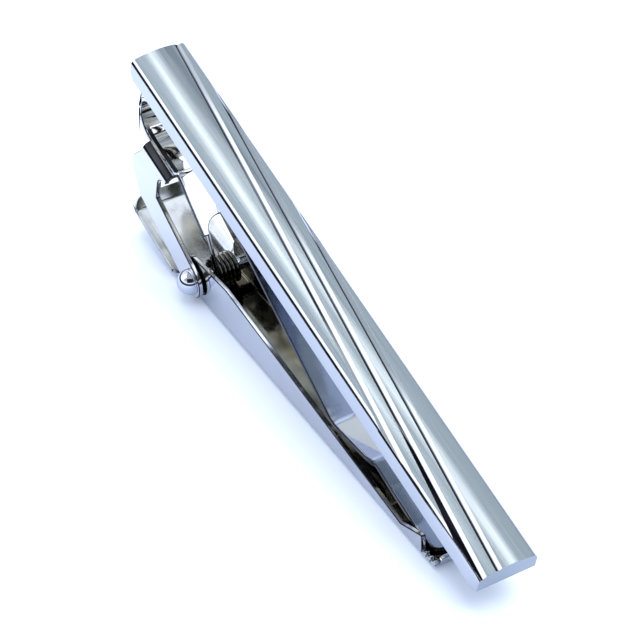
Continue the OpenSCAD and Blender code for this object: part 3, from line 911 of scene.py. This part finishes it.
def rest_distance(point, way, pin_middle):
    """Distance from the pin's middle to a wire's middle that lies along a sheet."""
    offset = Vector(point) - Vector(pin_middle)
    return offset.dot(Vector((-way[1], way[0]))) - SHEET / 2 - WIRE_D / 2 - SPRING_TOUCH


tongue_way = (math.cos(TONGUE_SLOPE), -math.sin(TONGUE_SLOPE))
tail_way = (-math.cos(TAIL_RISE), math.sin(TAIL_RISE))
up_dip = leg_dip(rest_distance(tongue_end, tongue_way, eye), UP_LEG_L)
down_dip = leg_dip(rest_distance(tail_end, tail_way, (0, PIN_H)), DOWN_LEG_L)
up_way = math.pi - TONGUE_SLOPE - up_dip - TILT
down_way = math.pi - TAIL_RISE + down_dip
coil_from = up_way - math.pi / 2
coil_to = down_way + math.pi / 2 - 2 * math.pi * (COIL_TURNS + 1)
coil_span = PITCH * (coil_from - coil_to) / (2 * math.pi)
print("coil of", round((coil_from - coil_to) / (2 * math.pi), 2), "turns, in mm wide:", round(coil_span, 2))

# %% [markdown]
# Now the tree. Its sizes are named inputs, so the same tree could wind any torsion spring. Sine and cosine
# of the angle place the curls; at the first and last point a leg's length is added, square to the radius.

# %% Geometry Nodes for a torsion spring
def spring_tree():
    tree = bpy.data.node_groups.new("torsion_spring_wire", "GeometryNodeTree")
    tree.interface.new_socket("Geometry", in_out="OUTPUT", socket_type="NodeSocketGeometry")
    for name in ("Wire", "Coil", "Span", "From", "To", "Up Leg", "Down Leg"):
        tree.interface.new_socket(name, in_out="INPUT", socket_type="NodeSocketFloat")
    tree.interface.new_socket("Points", in_out="INPUT", socket_type="NodeSocketInt")
    tree.interface.new_socket("Metal", in_out="INPUT", socket_type="NodeSocketMaterial")
    wanted = tree.nodes.new("NodeGroupInput").outputs
    count = wanted["Points"]
    index = add(tree, "GeometryNodeInputIndex")
    first = add(tree, "FunctionNodeCompare", None, None, index, 0, data_type="INT", operation="EQUAL")
    last_index = sum_of(tree, "SUBTRACT", count, 1)
    is_last = sum_of(tree, "COMPARE", index, last_index, 0.5)
    step = sum_of(tree, "DIVIDE", sum_of(tree, "SUBTRACT", index, 1), sum_of(tree, "SUBTRACT", count, 3))
    share = sum_of(tree, "MINIMUM", sum_of(tree, "MAXIMUM", step, 0), 1)
    sweep = sum_of(tree, "SUBTRACT", wanted["To"], wanted["From"])
    angle = sum_of(tree, "MULTIPLY_ADD", sweep, share, wanted["From"])
    radius = sum_of(tree, "MULTIPLY", wanted["Coil"], 0.5)
    along = sum_of(tree, "MULTIPLY", wanted["Span"], sum_of(tree, "SUBTRACT", share, 0.5))
    first_leg = sum_of(tree, "MULTIPLY", first, wanted["Up Leg"])
    leg = sum_of(tree, "SUBTRACT", first_leg, sum_of(tree, "MULTIPLY", is_last, wanted["Down Leg"]))
    sine, cosine = sum_of(tree, "SINE", angle), sum_of(tree, "COSINE", angle)
    out_x, leg_x = sum_of(tree, "MULTIPLY", radius, cosine), sum_of(tree, "MULTIPLY", leg, sine)
    x = sum_of(tree, "SUBTRACT", out_x, leg_x)
    z = sum_of(tree, "MULTIPLY_ADD", leg, cosine, sum_of(tree, "MULTIPLY", radius, sine))
    place = add(tree, "ShaderNodeCombineXYZ", x, along, z)
    points = add(tree, "GeometryNodeMeshLine", count)
    moved = add(tree, "GeometryNodeSetPosition", points, None, place)
    path = add(tree, "GeometryNodeMeshToCurve", moved)
    round_wire = tree.nodes.new("GeometryNodeCurvePrimitiveCircle")
    round_wire.inputs["Resolution"].default_value = SIDES_OF_WIRE
    tree.links.new(sum_of(tree, "MULTIPLY", wanted["Wire"], 0.5), round_wire.inputs["Radius"])
    wire = tree.nodes.new("GeometryNodeCurveToMesh")
    tree.links.new(path, wire.inputs["Curve"])
    tree.links.new(round_wire.outputs[0], wire.inputs["Profile Curve"])
    wire.inputs["Fill Caps"].default_value = True
    real = add(tree, "GeometryNodeRealizeInstances", wire.outputs[0])
    finished = add(tree, "GeometryNodeSetMaterial", real, None, wanted["Metal"])
    add(tree, "NodeGroupOutput", finished, out=slice(0))
    return tree


# %% [markdown]
# The spring's material is needed before it is wound, because the tree ends in Set Material. So this is
# the place to settle the finishes. All but one start from the shader node group `plating`, which gives
# what plated metal has: a cool tint that drifts a little, soft smears from handling that raise the
# roughness, and fine scratches. Pictures of scratched metal could do the same, but they would have to be
# unwrapped onto each part, and noise in Object coordinates needs no unwrapping and has no seams.

# %% Helpers for shader groups
# the fourth output of a Texture Coordinate node is Object; the depth is in metres
OBJECT_PLACE = 3
BUMP_DEPTH = 0.00001


def new_group(name, inputs, outputs):
    """A shader node group with its sockets; gives back the tree and its inputs."""
    tree = bpy.data.node_groups.new(name, "ShaderNodeTree")
    for label, kind, value in inputs:
        socket = tree.interface.new_socket(label, in_out="INPUT", socket_type=kind)
        socket.default_value = value
    for label, kind in outputs:
        tree.interface.new_socket(label, in_out="OUTPUT", socket_type=kind)
    return tree, tree.nodes.new("NodeGroupInput").outputs


def blend_colours(tree, share, first, second):
    """Mixes two colours by a share."""
    made = tree.nodes.new("ShaderNodeMix")
    made.data_type = "RGBA"
    for name, value in (("Factor_Float", share), ("A_Color", first), ("B_Color", second)):
        socket = next(s for s in made.inputs if s.identifier == name)
        if isinstance(value, bpy.types.NodeSocket):
            tree.links.new(value, socket)
        else:
            socket.default_value = value
    return next(s for s in made.outputs if s.identifier == "Result_Color")


def remap(tree, value, low, high, to_low, to_high):
    """Maps a range of values onto another, smoothly at its ends."""
    return add(
        tree, "ShaderNodeMapRange", value, low, high, to_low, to_high, interpolation_type="SMOOTHSTEP"
    )


def noise(tree, place, scale, detail):
    """Noise texture at a place."""
    made = tree.nodes.new("ShaderNodeTexNoise")
    tree.links.new(place, made.inputs["Vector"])
    made.inputs["Scale"].default_value = scale
    made.inputs["Detail"].default_value = detail
    return made.outputs[0]


def bump(tree, strength, height):
    """The normal that a height map makes; both groups end in one."""
    made = tree.nodes.new("ShaderNodeBump")
    made.inputs["Distance"].default_value = BUMP_DEPTH
    tree.links.new(strength, made.inputs["Strength"])
    tree.links.new(height, made.inputs["Height"])
    return made.outputs[0]


# %% [markdown]
# The plating group has three layers of noise. A coarse one lets the tint drift. A finer one, kept only
# where it is strong, makes smears. The third is stretched and turned, so that its strongest threads read
# as hair scratches, and together with a soft ripple it is the height of the bump.

# %% Shader group: what all the plating has
COLOUR, NUMBER, ARROW = "NodeSocketColor", "NodeSocketFloat", "NodeSocketVector"


def plating_group():
    tree, wanted = new_group(
        "plating",
        [
            ("Tint", COLOUR, (0.7, 0.75, 0.88, 1)),
            ("Drift Tint", COLOUR, (0.6, 0.66, 0.8, 1)),
            ("Gloss Roughness", NUMBER, 0.05),
            ("Smear", NUMBER, 0.08),
            ("Scratch Height", NUMBER, 0.1),
        ],
        [("Color", COLOUR), ("Roughness", NUMBER), ("Normal", ARROW)],
    )
    # noise scales count cells in a metre, so 160 is a cell of 6 mm
    place = add(tree, "ShaderNodeTexCoord", out=OBJECT_PLACE)
    drift = remap(tree, noise(tree, place, 160, 3), 0.35, 0.7, 0, 1)
    colour = blend_colours(tree, drift, wanted["Tint"], wanted["Drift Tint"])
    smears = remap(tree, noise(tree, place, 420, 5), 0.48, 0.72, 0, 1)
    roughness = sum_of(tree, "MULTIPLY_ADD", smears, wanted["Smear"], wanted["Gloss Roughness"])
    turned = add(tree, "ShaderNodeMapping", place, None, (0.3, 0.5, 0.9), (900, 90, 900))
    hairs = remap(tree, noise(tree, turned, 1, 2), 0.62, 0.72, 0, 1)
    ripple = noise(tree, place, 700, 2)
    height = sum_of(tree, "MULTIPLY_ADD", hairs, 0.4, ripple)
    normal = bump(tree, wanted["Scratch Height"], height)
    add(tree, "NodeGroupOutput", colour, roughness, normal, out=slice(0))
    return tree


plating = plating_group()
print("plating has", len(plating.nodes), "nodes")

# %% [markdown]
# The satin crown was brushed along the bar, so its grain is noise stretched far along that way. The
# shader's own anisotropy could smear the reflections instead, but it draws no single hairs. Because the bar
# leans, the grain's own frame leans with it: a Mapping node turns it.

# %% Shader group: brushed grain
def brushing_group():
    tree, wanted = new_group(
        "brushing",
        [
            ("Light Tint", COLOUR, (1, 1, 1, 1)),
            ("Dark Tint", COLOUR, (0.5, 0.5, 0.5, 1)),
            ("Satin Roughness", NUMBER, 0.28),
            ("Spread", NUMBER, 0.12),
            ("Grain Height", NUMBER, 0.3),
        ],
        [("Color", COLOUR), ("Roughness", NUMBER), ("Normal", ARROW)],
    )
    place = add(tree, "ShaderNodeTexCoord", out=OBJECT_PLACE)
    # hairs of a ninth of a millimetre across and 9 mm along, and broader bands
    level = add(tree, "ShaderNodeMapping", place, None, (0, -TILT, 0))
    fine = add(tree, "ShaderNodeMapping", level, None, None, (110, 9000, 9000))
    broad = add(tree, "ShaderNodeMapping", level, None, None, (60, 1500, 1500))
    hairs = noise(tree, fine, 1, 3)
    bands = noise(tree, broad, 1, 4)
    both = sum_of(tree, "ADD", sum_of(tree, "MULTIPLY", hairs, 0.6), sum_of(tree, "MULTIPLY", bands, 0.4))
    share = remap(tree, both, 0.35, 0.65, 0, 1)
    colour = blend_colours(tree, share, wanted["Dark Tint"], wanted["Light Tint"])
    roughness = sum_of(tree, "MULTIPLY_ADD", share, wanted["Spread"], wanted["Satin Roughness"])
    normal = bump(tree, wanted["Grain Height"], both)
    add(tree, "NodeGroupOutput", colour, roughness, normal, out=slice(0))
    return tree


brushing = brushing_group()
print("brushing has", len(brushing.nodes), "nodes")

# %% [markdown]
# A finish is one material: a fully metallic Principled BSDF whose colour, roughness and normal come from a
# group. The shader itself stays in the material, where it can be exported, and the group only feeds it.

# %% How a finish is put together
def finish(name, group, values):
    """A metal whose colour, roughness and normal come from a group with its own values."""
    metal = bpy.data.materials.new(name)
    metal.use_nodes = True
    tree = metal.node_tree
    surface = tree.nodes["Principled BSDF"]
    surface.inputs["Metallic"].default_value = 1.0
    made = tree.nodes.new("ShaderNodeGroup")
    made.node_tree = group
    for socket, value in values.items():
        made.inputs[socket].default_value = value
    for source, target in (("Color", "Base Color"), ("Roughness", "Roughness"), ("Normal", "Normal")):
        tree.links.new(made.outputs[source], surface.inputs[target])
    return metal


def plated(name, tint, drift_tint, roughness, smear, scratches):
    """A finish of the plating group, from its two tints and three strengths."""
    values = {
        "Tint": (*tint, 1),
        "Drift Tint": (*drift_tint, 1),
        "Gloss Roughness": roughness,
        "Smear": smear,
        "Scratch Height": scratches,
    }
    return finish(name, plating, values)


# %% [markdown]
# Thirteen finishes follow, one for each kind of surface. Four belong to the bar: the brushed crown, the
# polished bevels and grooves, the plainer back with its dark tint of painted shade, and the facet with a
# painted dark reflection. The two jaws share the olive of their hollow sides, which drifts between pale and
# nearly black as painted shade and reflection, the scratched rim and the dark rounded edges of painted
# shade, and each has its own bright outside. The tail's top is rubbed and has a lighter tint of painted
# light. Pin, spring and solder have one each; the spring's tint drifts between near white and near black
# as painted glints.

# %% The finishes
satin_crown = finish("satin_crown", brushing, {
    "Light Tint": (0.80, 0.86, 0.90, 1),
    "Dark Tint": (0.69, 0.76, 0.81, 1),
    "Satin Roughness": 0.14,
    "Spread": 0.1,
    "Grain Height": 0.25,
})
bright_bar = plated("bright_bar", (0.74, 0.77, 0.82), (0.70, 0.73, 0.79), 0.04, 0.05, 0.06)
# a plainer, rougher finish, with a dark tint that is painted shade under the bar
plain_back_painted_shade = plated("plain_back_painted_shade", (0.32, 0.36, 0.43), (0.24, 0.28, 0.35), 0.15, 0.2, 0.3)
# near black: a painted dark reflection on one groove facet
groove_painted_reflection = plated("groove_painted_reflection", (0.012, 0.011, 0.016), (0.006, 0.006, 0.009), 0.08, 0.1, 0.2)
bright_sheet = plated("bright_sheet", (0.93, 0.94, 0.95), (0.87, 0.88, 0.90), 0.04, 0.06, 0.12)
# olive running to near black: painted shade and painted reflection in the hollows
olive_painted_shade = plated("olive_painted_shade", (0.50, 0.48, 0.40), (0.03, 0.03, 0.025), 0.06, 0.12, 0.4)
# near black: painted shade on rounded edges and folds
shaded_edge = plated("shaded_edge", (0.08, 0.085, 0.10), (0.03, 0.03, 0.035), 0.12, 0.2, 0.3)
cut_rim = plated("cut_rim", (0.92, 0.93, 0.94), (0.60, 0.61, 0.63), 0.13, 0.2, 0.8)
bright_jaw = plated("bright_jaw", (0.80, 0.82, 0.86), (0.74, 0.76, 0.80), 0.05, 0.1, 0.15)
# rougher, as rubbed, and lighter: painted light on the tail's top
rubbed_and_lit_tail = plated("rubbed_and_lit_tail", (0.92, 0.94, 0.98), (0.66, 0.68, 0.72), 0.14, 0.15, 0.3)
bright_pin = plated("bright_pin", (0.76, 0.8, 0.9), (0.66, 0.7, 0.8), 0.03, 0.06, 0.1)
# tint drifting between near white and near black: painted glints on the wire
spring_painted_glints = plated("spring_painted_glints", (0.95, 0.95, 0.93), (0.12, 0.12, 0.11), 0.06, 0.1, 0.2)
dull_tin = plated("dull_tin", (0.6, 0.62, 0.66), (0.5, 0.52, 0.55), 0.3, 0.25, 0.5)
for piece, metals in (
    (bar, [satin_crown, bright_bar, plain_back_painted_shade, groove_painted_reflection]),
    (upper_jaw, [bright_sheet, olive_painted_shade, cut_rim, shaded_edge]),
    (lower_jaw, [olive_painted_shade, bright_jaw, cut_rim, shaded_edge, rubbed_and_lit_tail]),
    (pin, [bright_pin]),
):
    for index, metal in enumerate(metals):
        if index < len(piece.data.materials):
            piece.data.materials[index] = metal
        else:
            piece.data.materials.append(metal)
print("finishes on the bar and the jaws:", [len(p.data.materials) for p in (bar, upper_jaw, lower_jaw)])

# %% [markdown]
# A modifier's input is set by its socket's identifier. The wound spring is then made a plain mesh and
# moved to the pin.

# %% Wind the spring
spring = as_object("coiled_spring", bmesh.new())
winding = spring.modifiers.new("winding", "NODES")
winding.node_group = spring_tree()
sockets = winding.node_group.interface.items_tree
spring_inputs = {s.name: s.identifier for s in sockets if s.in_out == "INPUT"}
for name, value in (
    ("Wire", WIRE_D * MM),
    ("Coil", COIL_D * MM),
    ("Span", coil_span * MM),
    ("From", coil_from),
    ("To", coil_to),
    ("Up Leg", UP_LEG_L * MM),
    ("Down Leg", DOWN_LEG_L * MM),
    ("Points", round(RINGS_A_TURN * (coil_from - coil_to) / (2 * math.pi)) + 3),
    ("Metal", spring_painted_glints),
):
    winding[spring_inputs[name]] = value
apply_modifiers(spring)
spring.data.transform(Matrix.Translation(PIN * MM))
spring.data.shade_smooth()
spring.data.set_sharp_from_angle(angle=math.radians(50))
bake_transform(spring)
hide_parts("torsion_spring")
print("the spring has", len(spring.data.polygons), "faces")

# %% [markdown]
# ## Solder
# The strip is soldered to the bar's back. A thin line of tin shows along both of the strip's edges, with
# the hollow fillet that molten tin draws, wandering a little in width. A bevelled Curve would make an even
# bead, but solder is never even. So the cross-section is drawn again at each of sixty steps, a little
# wider or narrower by two slow waves, and the rings are joined into one skin.

# %% Solder along the strip
SOLDER_FROM, SOLDER_TO = CURL_X + SHEET, LIFT_X - 2 * SHEET
FILLET = (BAR_W - STRIP_W) / 2 - SHEET / 4
SOLDER_STEPS, FILLET_STEPS, END_STEPS = 60, 5, 4
LEAST_REACH, REACH_STEP = 0.45, 0.2
MEAN_WIDTH, WANDER, FAST_WAVE, SLOW_WAVE = 0.86, 0.12, 2.1, 0.7
solder_mesh = bmesh.new()
rings = []
for i in range(SOLDER_STEPS + 1):
    x = SOLDER_FROM + (SOLDER_TO - SOLDER_FROM) * i / SOLDER_STEPS
    ending = min(1.0, LEAST_REACH + REACH_STEP * (min(i, SOLDER_STEPS - i) / END_STEPS))
    width = MEAN_WIDTH + WANDER * math.sin(FAST_WAVE * x) * math.cos(SLOW_WAVE * x)
    reach = FILLET * ending * width
    half = []
    for k in range(FILLET_STEPS + 1):
        angle = math.pi / 2 * k / FILLET_STEPS
        out_y, down_z = reach * (1 - math.sin(angle)), (SOLDER + reach) * (1 - math.cos(angle))
        half.append((STRIP_W / 2 + out_y, -down_z))
    half.append((STRIP_W / 2 - SHEET / 4, -SOLDER))
    loop = [(y, z) for y, z in half] + [(-y, z) for y, z in reversed(half)]
    rings.append([solder_mesh.verts.new((x, y, z)) for y, z in loop])
for before, after in zip(rings, rings[1:]):
    for k in range(len(before)):
        following = (k + 1) % len(before)
        solder_mesh.faces.new((before[k], before[following], after[following], after[k]))
solder_mesh.faces.new(rings[0])
solder_mesh.faces.new(rings[-1])
bmesh.ops.recalc_face_normals(solder_mesh, faces=solder_mesh.faces)
bmesh.ops.transform(solder_mesh, matrix=Matrix.Scale(1 / MM, 4) @ bar_frame, verts=solder_mesh.verts)
solder = as_object("tin_line", solder_mesh)
solder.data.shade_smooth()
solder.data.set_sharp_from_angle(angle=math.radians(40))
solder.data.materials.append(dull_tin)
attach(solder, UPPER)
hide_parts("solder_seam")
print("the solder runs from", round(SOLDER_FROM, 2), "to", round(SOLDER_TO, 2), "mm along the bar")

# %% [markdown]
# ## Light
# The photograph has a burnt-out white ground, soft lavender shadows, and chrome that mirrors a bright
# room with a few dark things in it. A picture of a real room round the clip would be quick, but nothing
# in it could be moved to where this clip needs it. So the room is set up as a photographer does it, with
# white and black boards, here called cards: each is a smooth-edged patch of sky, placed by direction.

# %% A card in the sky
# a ray with less than this towards a card's middle points away from the card
FACING = 0.01
# outputs of a Light Path node
CAMERA_RAY, DIFFUSE_RAY = 0, 2


def direction(azimuth, elevation):
    """A direction in the sky, in degrees from +X towards +Y, and up."""
    a, e = math.radians(azimuth), math.radians(elevation)
    return Vector((math.cos(a) * math.cos(e), math.sin(a) * math.cos(e), math.sin(e)))


def patch(tree, way, start, end, half_width, soft):
    """1 in a patch of the sky that runs from one direction to another, 0 outside; widths are tangents."""
    centre = (start + end).normalized()
    along = (end - start).normalized()
    sideways = along.cross(centre)
    half_length = (end - start).length / (start + end).length
    ahead = add(tree, "ShaderNodeVectorMath", way, centre, operation="DOT_PRODUCT", out=1)
    in_front = sum_of(tree, "MAXIMUM", ahead, FACING)
    mask = sum_of(tree, "GREATER_THAN", ahead, FACING)
    for axis, half in ((along, half_length), (sideways, half_width)):
        off = add(tree, "ShaderNodeVectorMath", way, axis, operation="DOT_PRODUCT", out=1)
        away = sum_of(tree, "ABSOLUTE", sum_of(tree, "DIVIDE", off, in_front))
        mask = sum_of(tree, "MULTIPLY", mask, remap(tree, away, half - soft, half + soft, 1, 0))
    return mask


# %% [markdown]
# The room itself is near black up to some 14 degrees above the horizon, then a bright wall, then a greyer
# ceiling. The cards are laid over it one by one, and a later one covers an earlier one. They were set by
# looking at one region of the chrome after another, beside the photograph. Mirrored rays see this room.
# Diffuse rays get one even, bluish fill instead, which gives the shadows their tint, and the camera sees
# plain white behind the table's end.

# %% The room that the chrome mirrors
world = bpy.data.worlds.new("room")
bpy.context.scene.world = world
world.use_nodes = True
sky = world.node_tree
sky.nodes.clear()
way = add(sky, "ShaderNodeTexCoord")
height = add(sky, "ShaderNodeSeparateXYZ", way, out=2)
WALL, CEILING, HORIZON = (1.0, 1.05, 1.15, 1), (0.44, 0.50, 0.56, 1), (0.02, 0.02, 0.025, 1)
FILL, WHITE = (0.95, 1.06, 1.32, 1), (1, 1, 1, 1)
HORIZON_FROM, HORIZON_TO, CEILING_FROM, CEILING_TO = 0.24, 0.30, 0.45, 0.62
room = blend_colours(sky, remap(sky, height, CEILING_FROM, CEILING_TO, 0, 1), WALL, CEILING)
CARDS = (
    # from and to, in degrees of azimuth and elevation; half width and softness, as tangents; colour
    ((-178, 36), (-140, 36), 0.5, 0.06, (0.95, 0.99, 1.05)),  # white, on the tail's side
    ((-150, 36), (-100, 36), 0.5, 0.06, (1.5, 1.55, 1.6)),  # brighter, on the near side
    ((20, 50), (60, 62), 0.22, 0.08, (1.4, 1.42, 1.5)),  # white, high beyond the tip
    ((110, 14), (140, 14), 0.34, 0.06, (0.26, 0.29, 0.33)),  # grey, low on the far side
    ((88, 14), (114, 14), 0.34, 0.06, (0.03, 0.03, 0.035)),  # black, beside it
    ((116, 65), (109, 57), 0.07, 0.02, (1.5, 1.56, 1.6)),  # a small light, high on the far side
    ((-62, 38), (4, 38), 0.32, 0.04, (0.02, 0.02, 0.02)),  # black, round where the camera stands
    ((152, 57), (124, 50), 0.09, 0.05, (0.16, 0.20, 0.25)),  # dark, high on the far side
    ((148, 62), (160, 72), 0.035, 0.03, (2.0, 2.1, 2.15)),  # a strip of light above that
    ((129, 65), (112, 58), 0.05, 0.03, (1.5, 1.56, 1.6)),  # another, further round
    ((158, 71), (168, 80), 0.025, 0.03, (2.2, 2.3, 2.35)),  # a last one, nearly overhead
)
for start, end, half_width, soft, colour in CARDS:
    mask = patch(sky, way, direction(*start), direction(*end), half_width, soft)
    room = blend_colours(sky, mask, room, (*colour, 1))
room = blend_colours(sky, remap(sky, height, HORIZON_FROM, HORIZON_TO, 1, 0), room, HORIZON)
mirrored = add(sky, "ShaderNodeBackground", room, 1.0)
filling = add(sky, "ShaderNodeBackground", FILL, 1.0)
is_diffuse = add(sky, "ShaderNodeLightPath", out=DIFFUSE_RAY)
scattered = add(sky, "ShaderNodeMixShader", is_diffuse, mirrored, filling)
plain = add(sky, "ShaderNodeBackground", WHITE, 1.0)
is_camera = add(sky, "ShaderNodeLightPath", out=CAMERA_RAY)
shown = add(sky, "ShaderNodeMixShader", is_camera, scattered, plain)
add(sky, "ShaderNodeOutputWorld", shown, out=slice(0))
bpy.context.scene.view_settings.view_transform = "Standard"
print("cards in the room:", len(CARDS))

# %% [markdown]
# The table is a large pale plane, a hundredth of a millimetre below zero, so that it never lies in one
# plane with the flat underside of the jaw. The camera sees it white. Other rays find it darker, and darker
# still beyond the tip, and a patch of it beside the tail, on the far side, glows for them. That isn't how
# one sheet of paper behaves: like the cards, it stands for what lay round the clip.
# A plain sheet with real things on it would be the honest other way, but each of them would also throw a
# shadow.

# %% Table
FLOOR_HALF = 1.5
FLOOR_Z = -0.01
PAPER_ROUGHNESS = 0.6
SEEN_PAPER, NEAR_PAPER, END_PAPER = (0.90, 0.95, 1.0, 1), (0.57, 0.62, 0.72, 1), (0.35, 0.40, 0.48, 1)
TIP_FROM, TIP_TO = 0.024, 0.03
GLOW_COLOUR = (1.0, 1.0, 1.0, 1)
GLOW_NEAR, GLOW_FAR, GLOW_END = (0.003, 0.005), (0.012, 0.016), (-0.012, -0.004)
floor_mesh = bmesh.new()
floor_mesh.faces.new([
    floor_mesh.verts.new((x * FLOOR_HALF / MM, y * FLOOR_HALF / MM, FLOOR_Z))
    for x, y in ((-1, -1), (1, -1), (1, 1), (-1, 1))
])
floor = as_object("table", floor_mesh)
paper = bpy.data.materials.new("white_table")
paper.use_nodes = True
paper_tree = paper.node_tree
paper_surface = paper_tree.nodes["Principled BSDF"]
paper_surface.inputs["Roughness"].default_value = PAPER_ROUGHNESS
by_camera = add(paper_tree, "ShaderNodeLightPath", out=CAMERA_RAY)
on_table = add(paper_tree, "ShaderNodeTexCoord", out=OBJECT_PLACE)
table_x = add(paper_tree, "ShaderNodeSeparateXYZ", on_table)
table_y = add(paper_tree, "ShaderNodeSeparateXYZ", on_table, out=1)
past_tip = remap(paper_tree, table_x, TIP_FROM, TIP_TO, 0, 1)
mirrored_paper = blend_colours(paper_tree, past_tip, NEAR_PAPER, END_PAPER)
paper_colour = blend_colours(paper_tree, by_camera, mirrored_paper, SEEN_PAPER)
paper_tree.links.new(paper_colour, paper_surface.inputs["Base Color"])
no_glow = remap(paper_tree, table_y, *GLOW_NEAR, 1, 0)
beyond_glow = remap(paper_tree, table_y, *GLOW_FAR, 0, 1)
for other in (by_camera, beyond_glow, remap(paper_tree, table_x, *GLOW_END, 0, 1)):
    no_glow = sum_of(paper_tree, "MAXIMUM", no_glow, other)
glow = sum_of(paper_tree, "SUBTRACT", 1, no_glow)
paper_tree.links.new(glow, paper_surface.inputs["Emission Strength"])
paper_surface.inputs["Emission Color"].default_value = GLOW_COLOUR
floor.data.materials.append(paper)
print("the table is", 2 * FLOOR_HALF, "m wide")

# %% [markdown]
# One large soft lamp hangs nearly overhead, a little towards the picture's right, for the soft shadow. A
# Sun with a wide angle would do nearly the same, but a disk of a known width at a known distance is easier
# to think about. Chrome doesn't mirror the lamp, so that the room alone decides the reflections.

# %% Lamp
LAMP_WIDTH, LAMP_POWER = 1.2, 11.0
lamp_data = bpy.data.lights.new("window", "AREA")
lamp_data.shape = "DISK"
lamp_data.size = LAMP_WIDTH
lamp_data.energy = LAMP_POWER
lamp = bpy.data.objects.new("window", lamp_data)
lamp.location = (0.12, 0.26, 1.0)
lamp.rotation_mode = "QUATERNION"
lamp.rotation_quaternion = (-lamp.location).to_track_quat("-Z", "Y")
lamp.visible_glossy = False
bpy.context.scene.collection.objects.link(lamp)
print("the lamp hangs", round(lamp.location.length, 2), "m away")
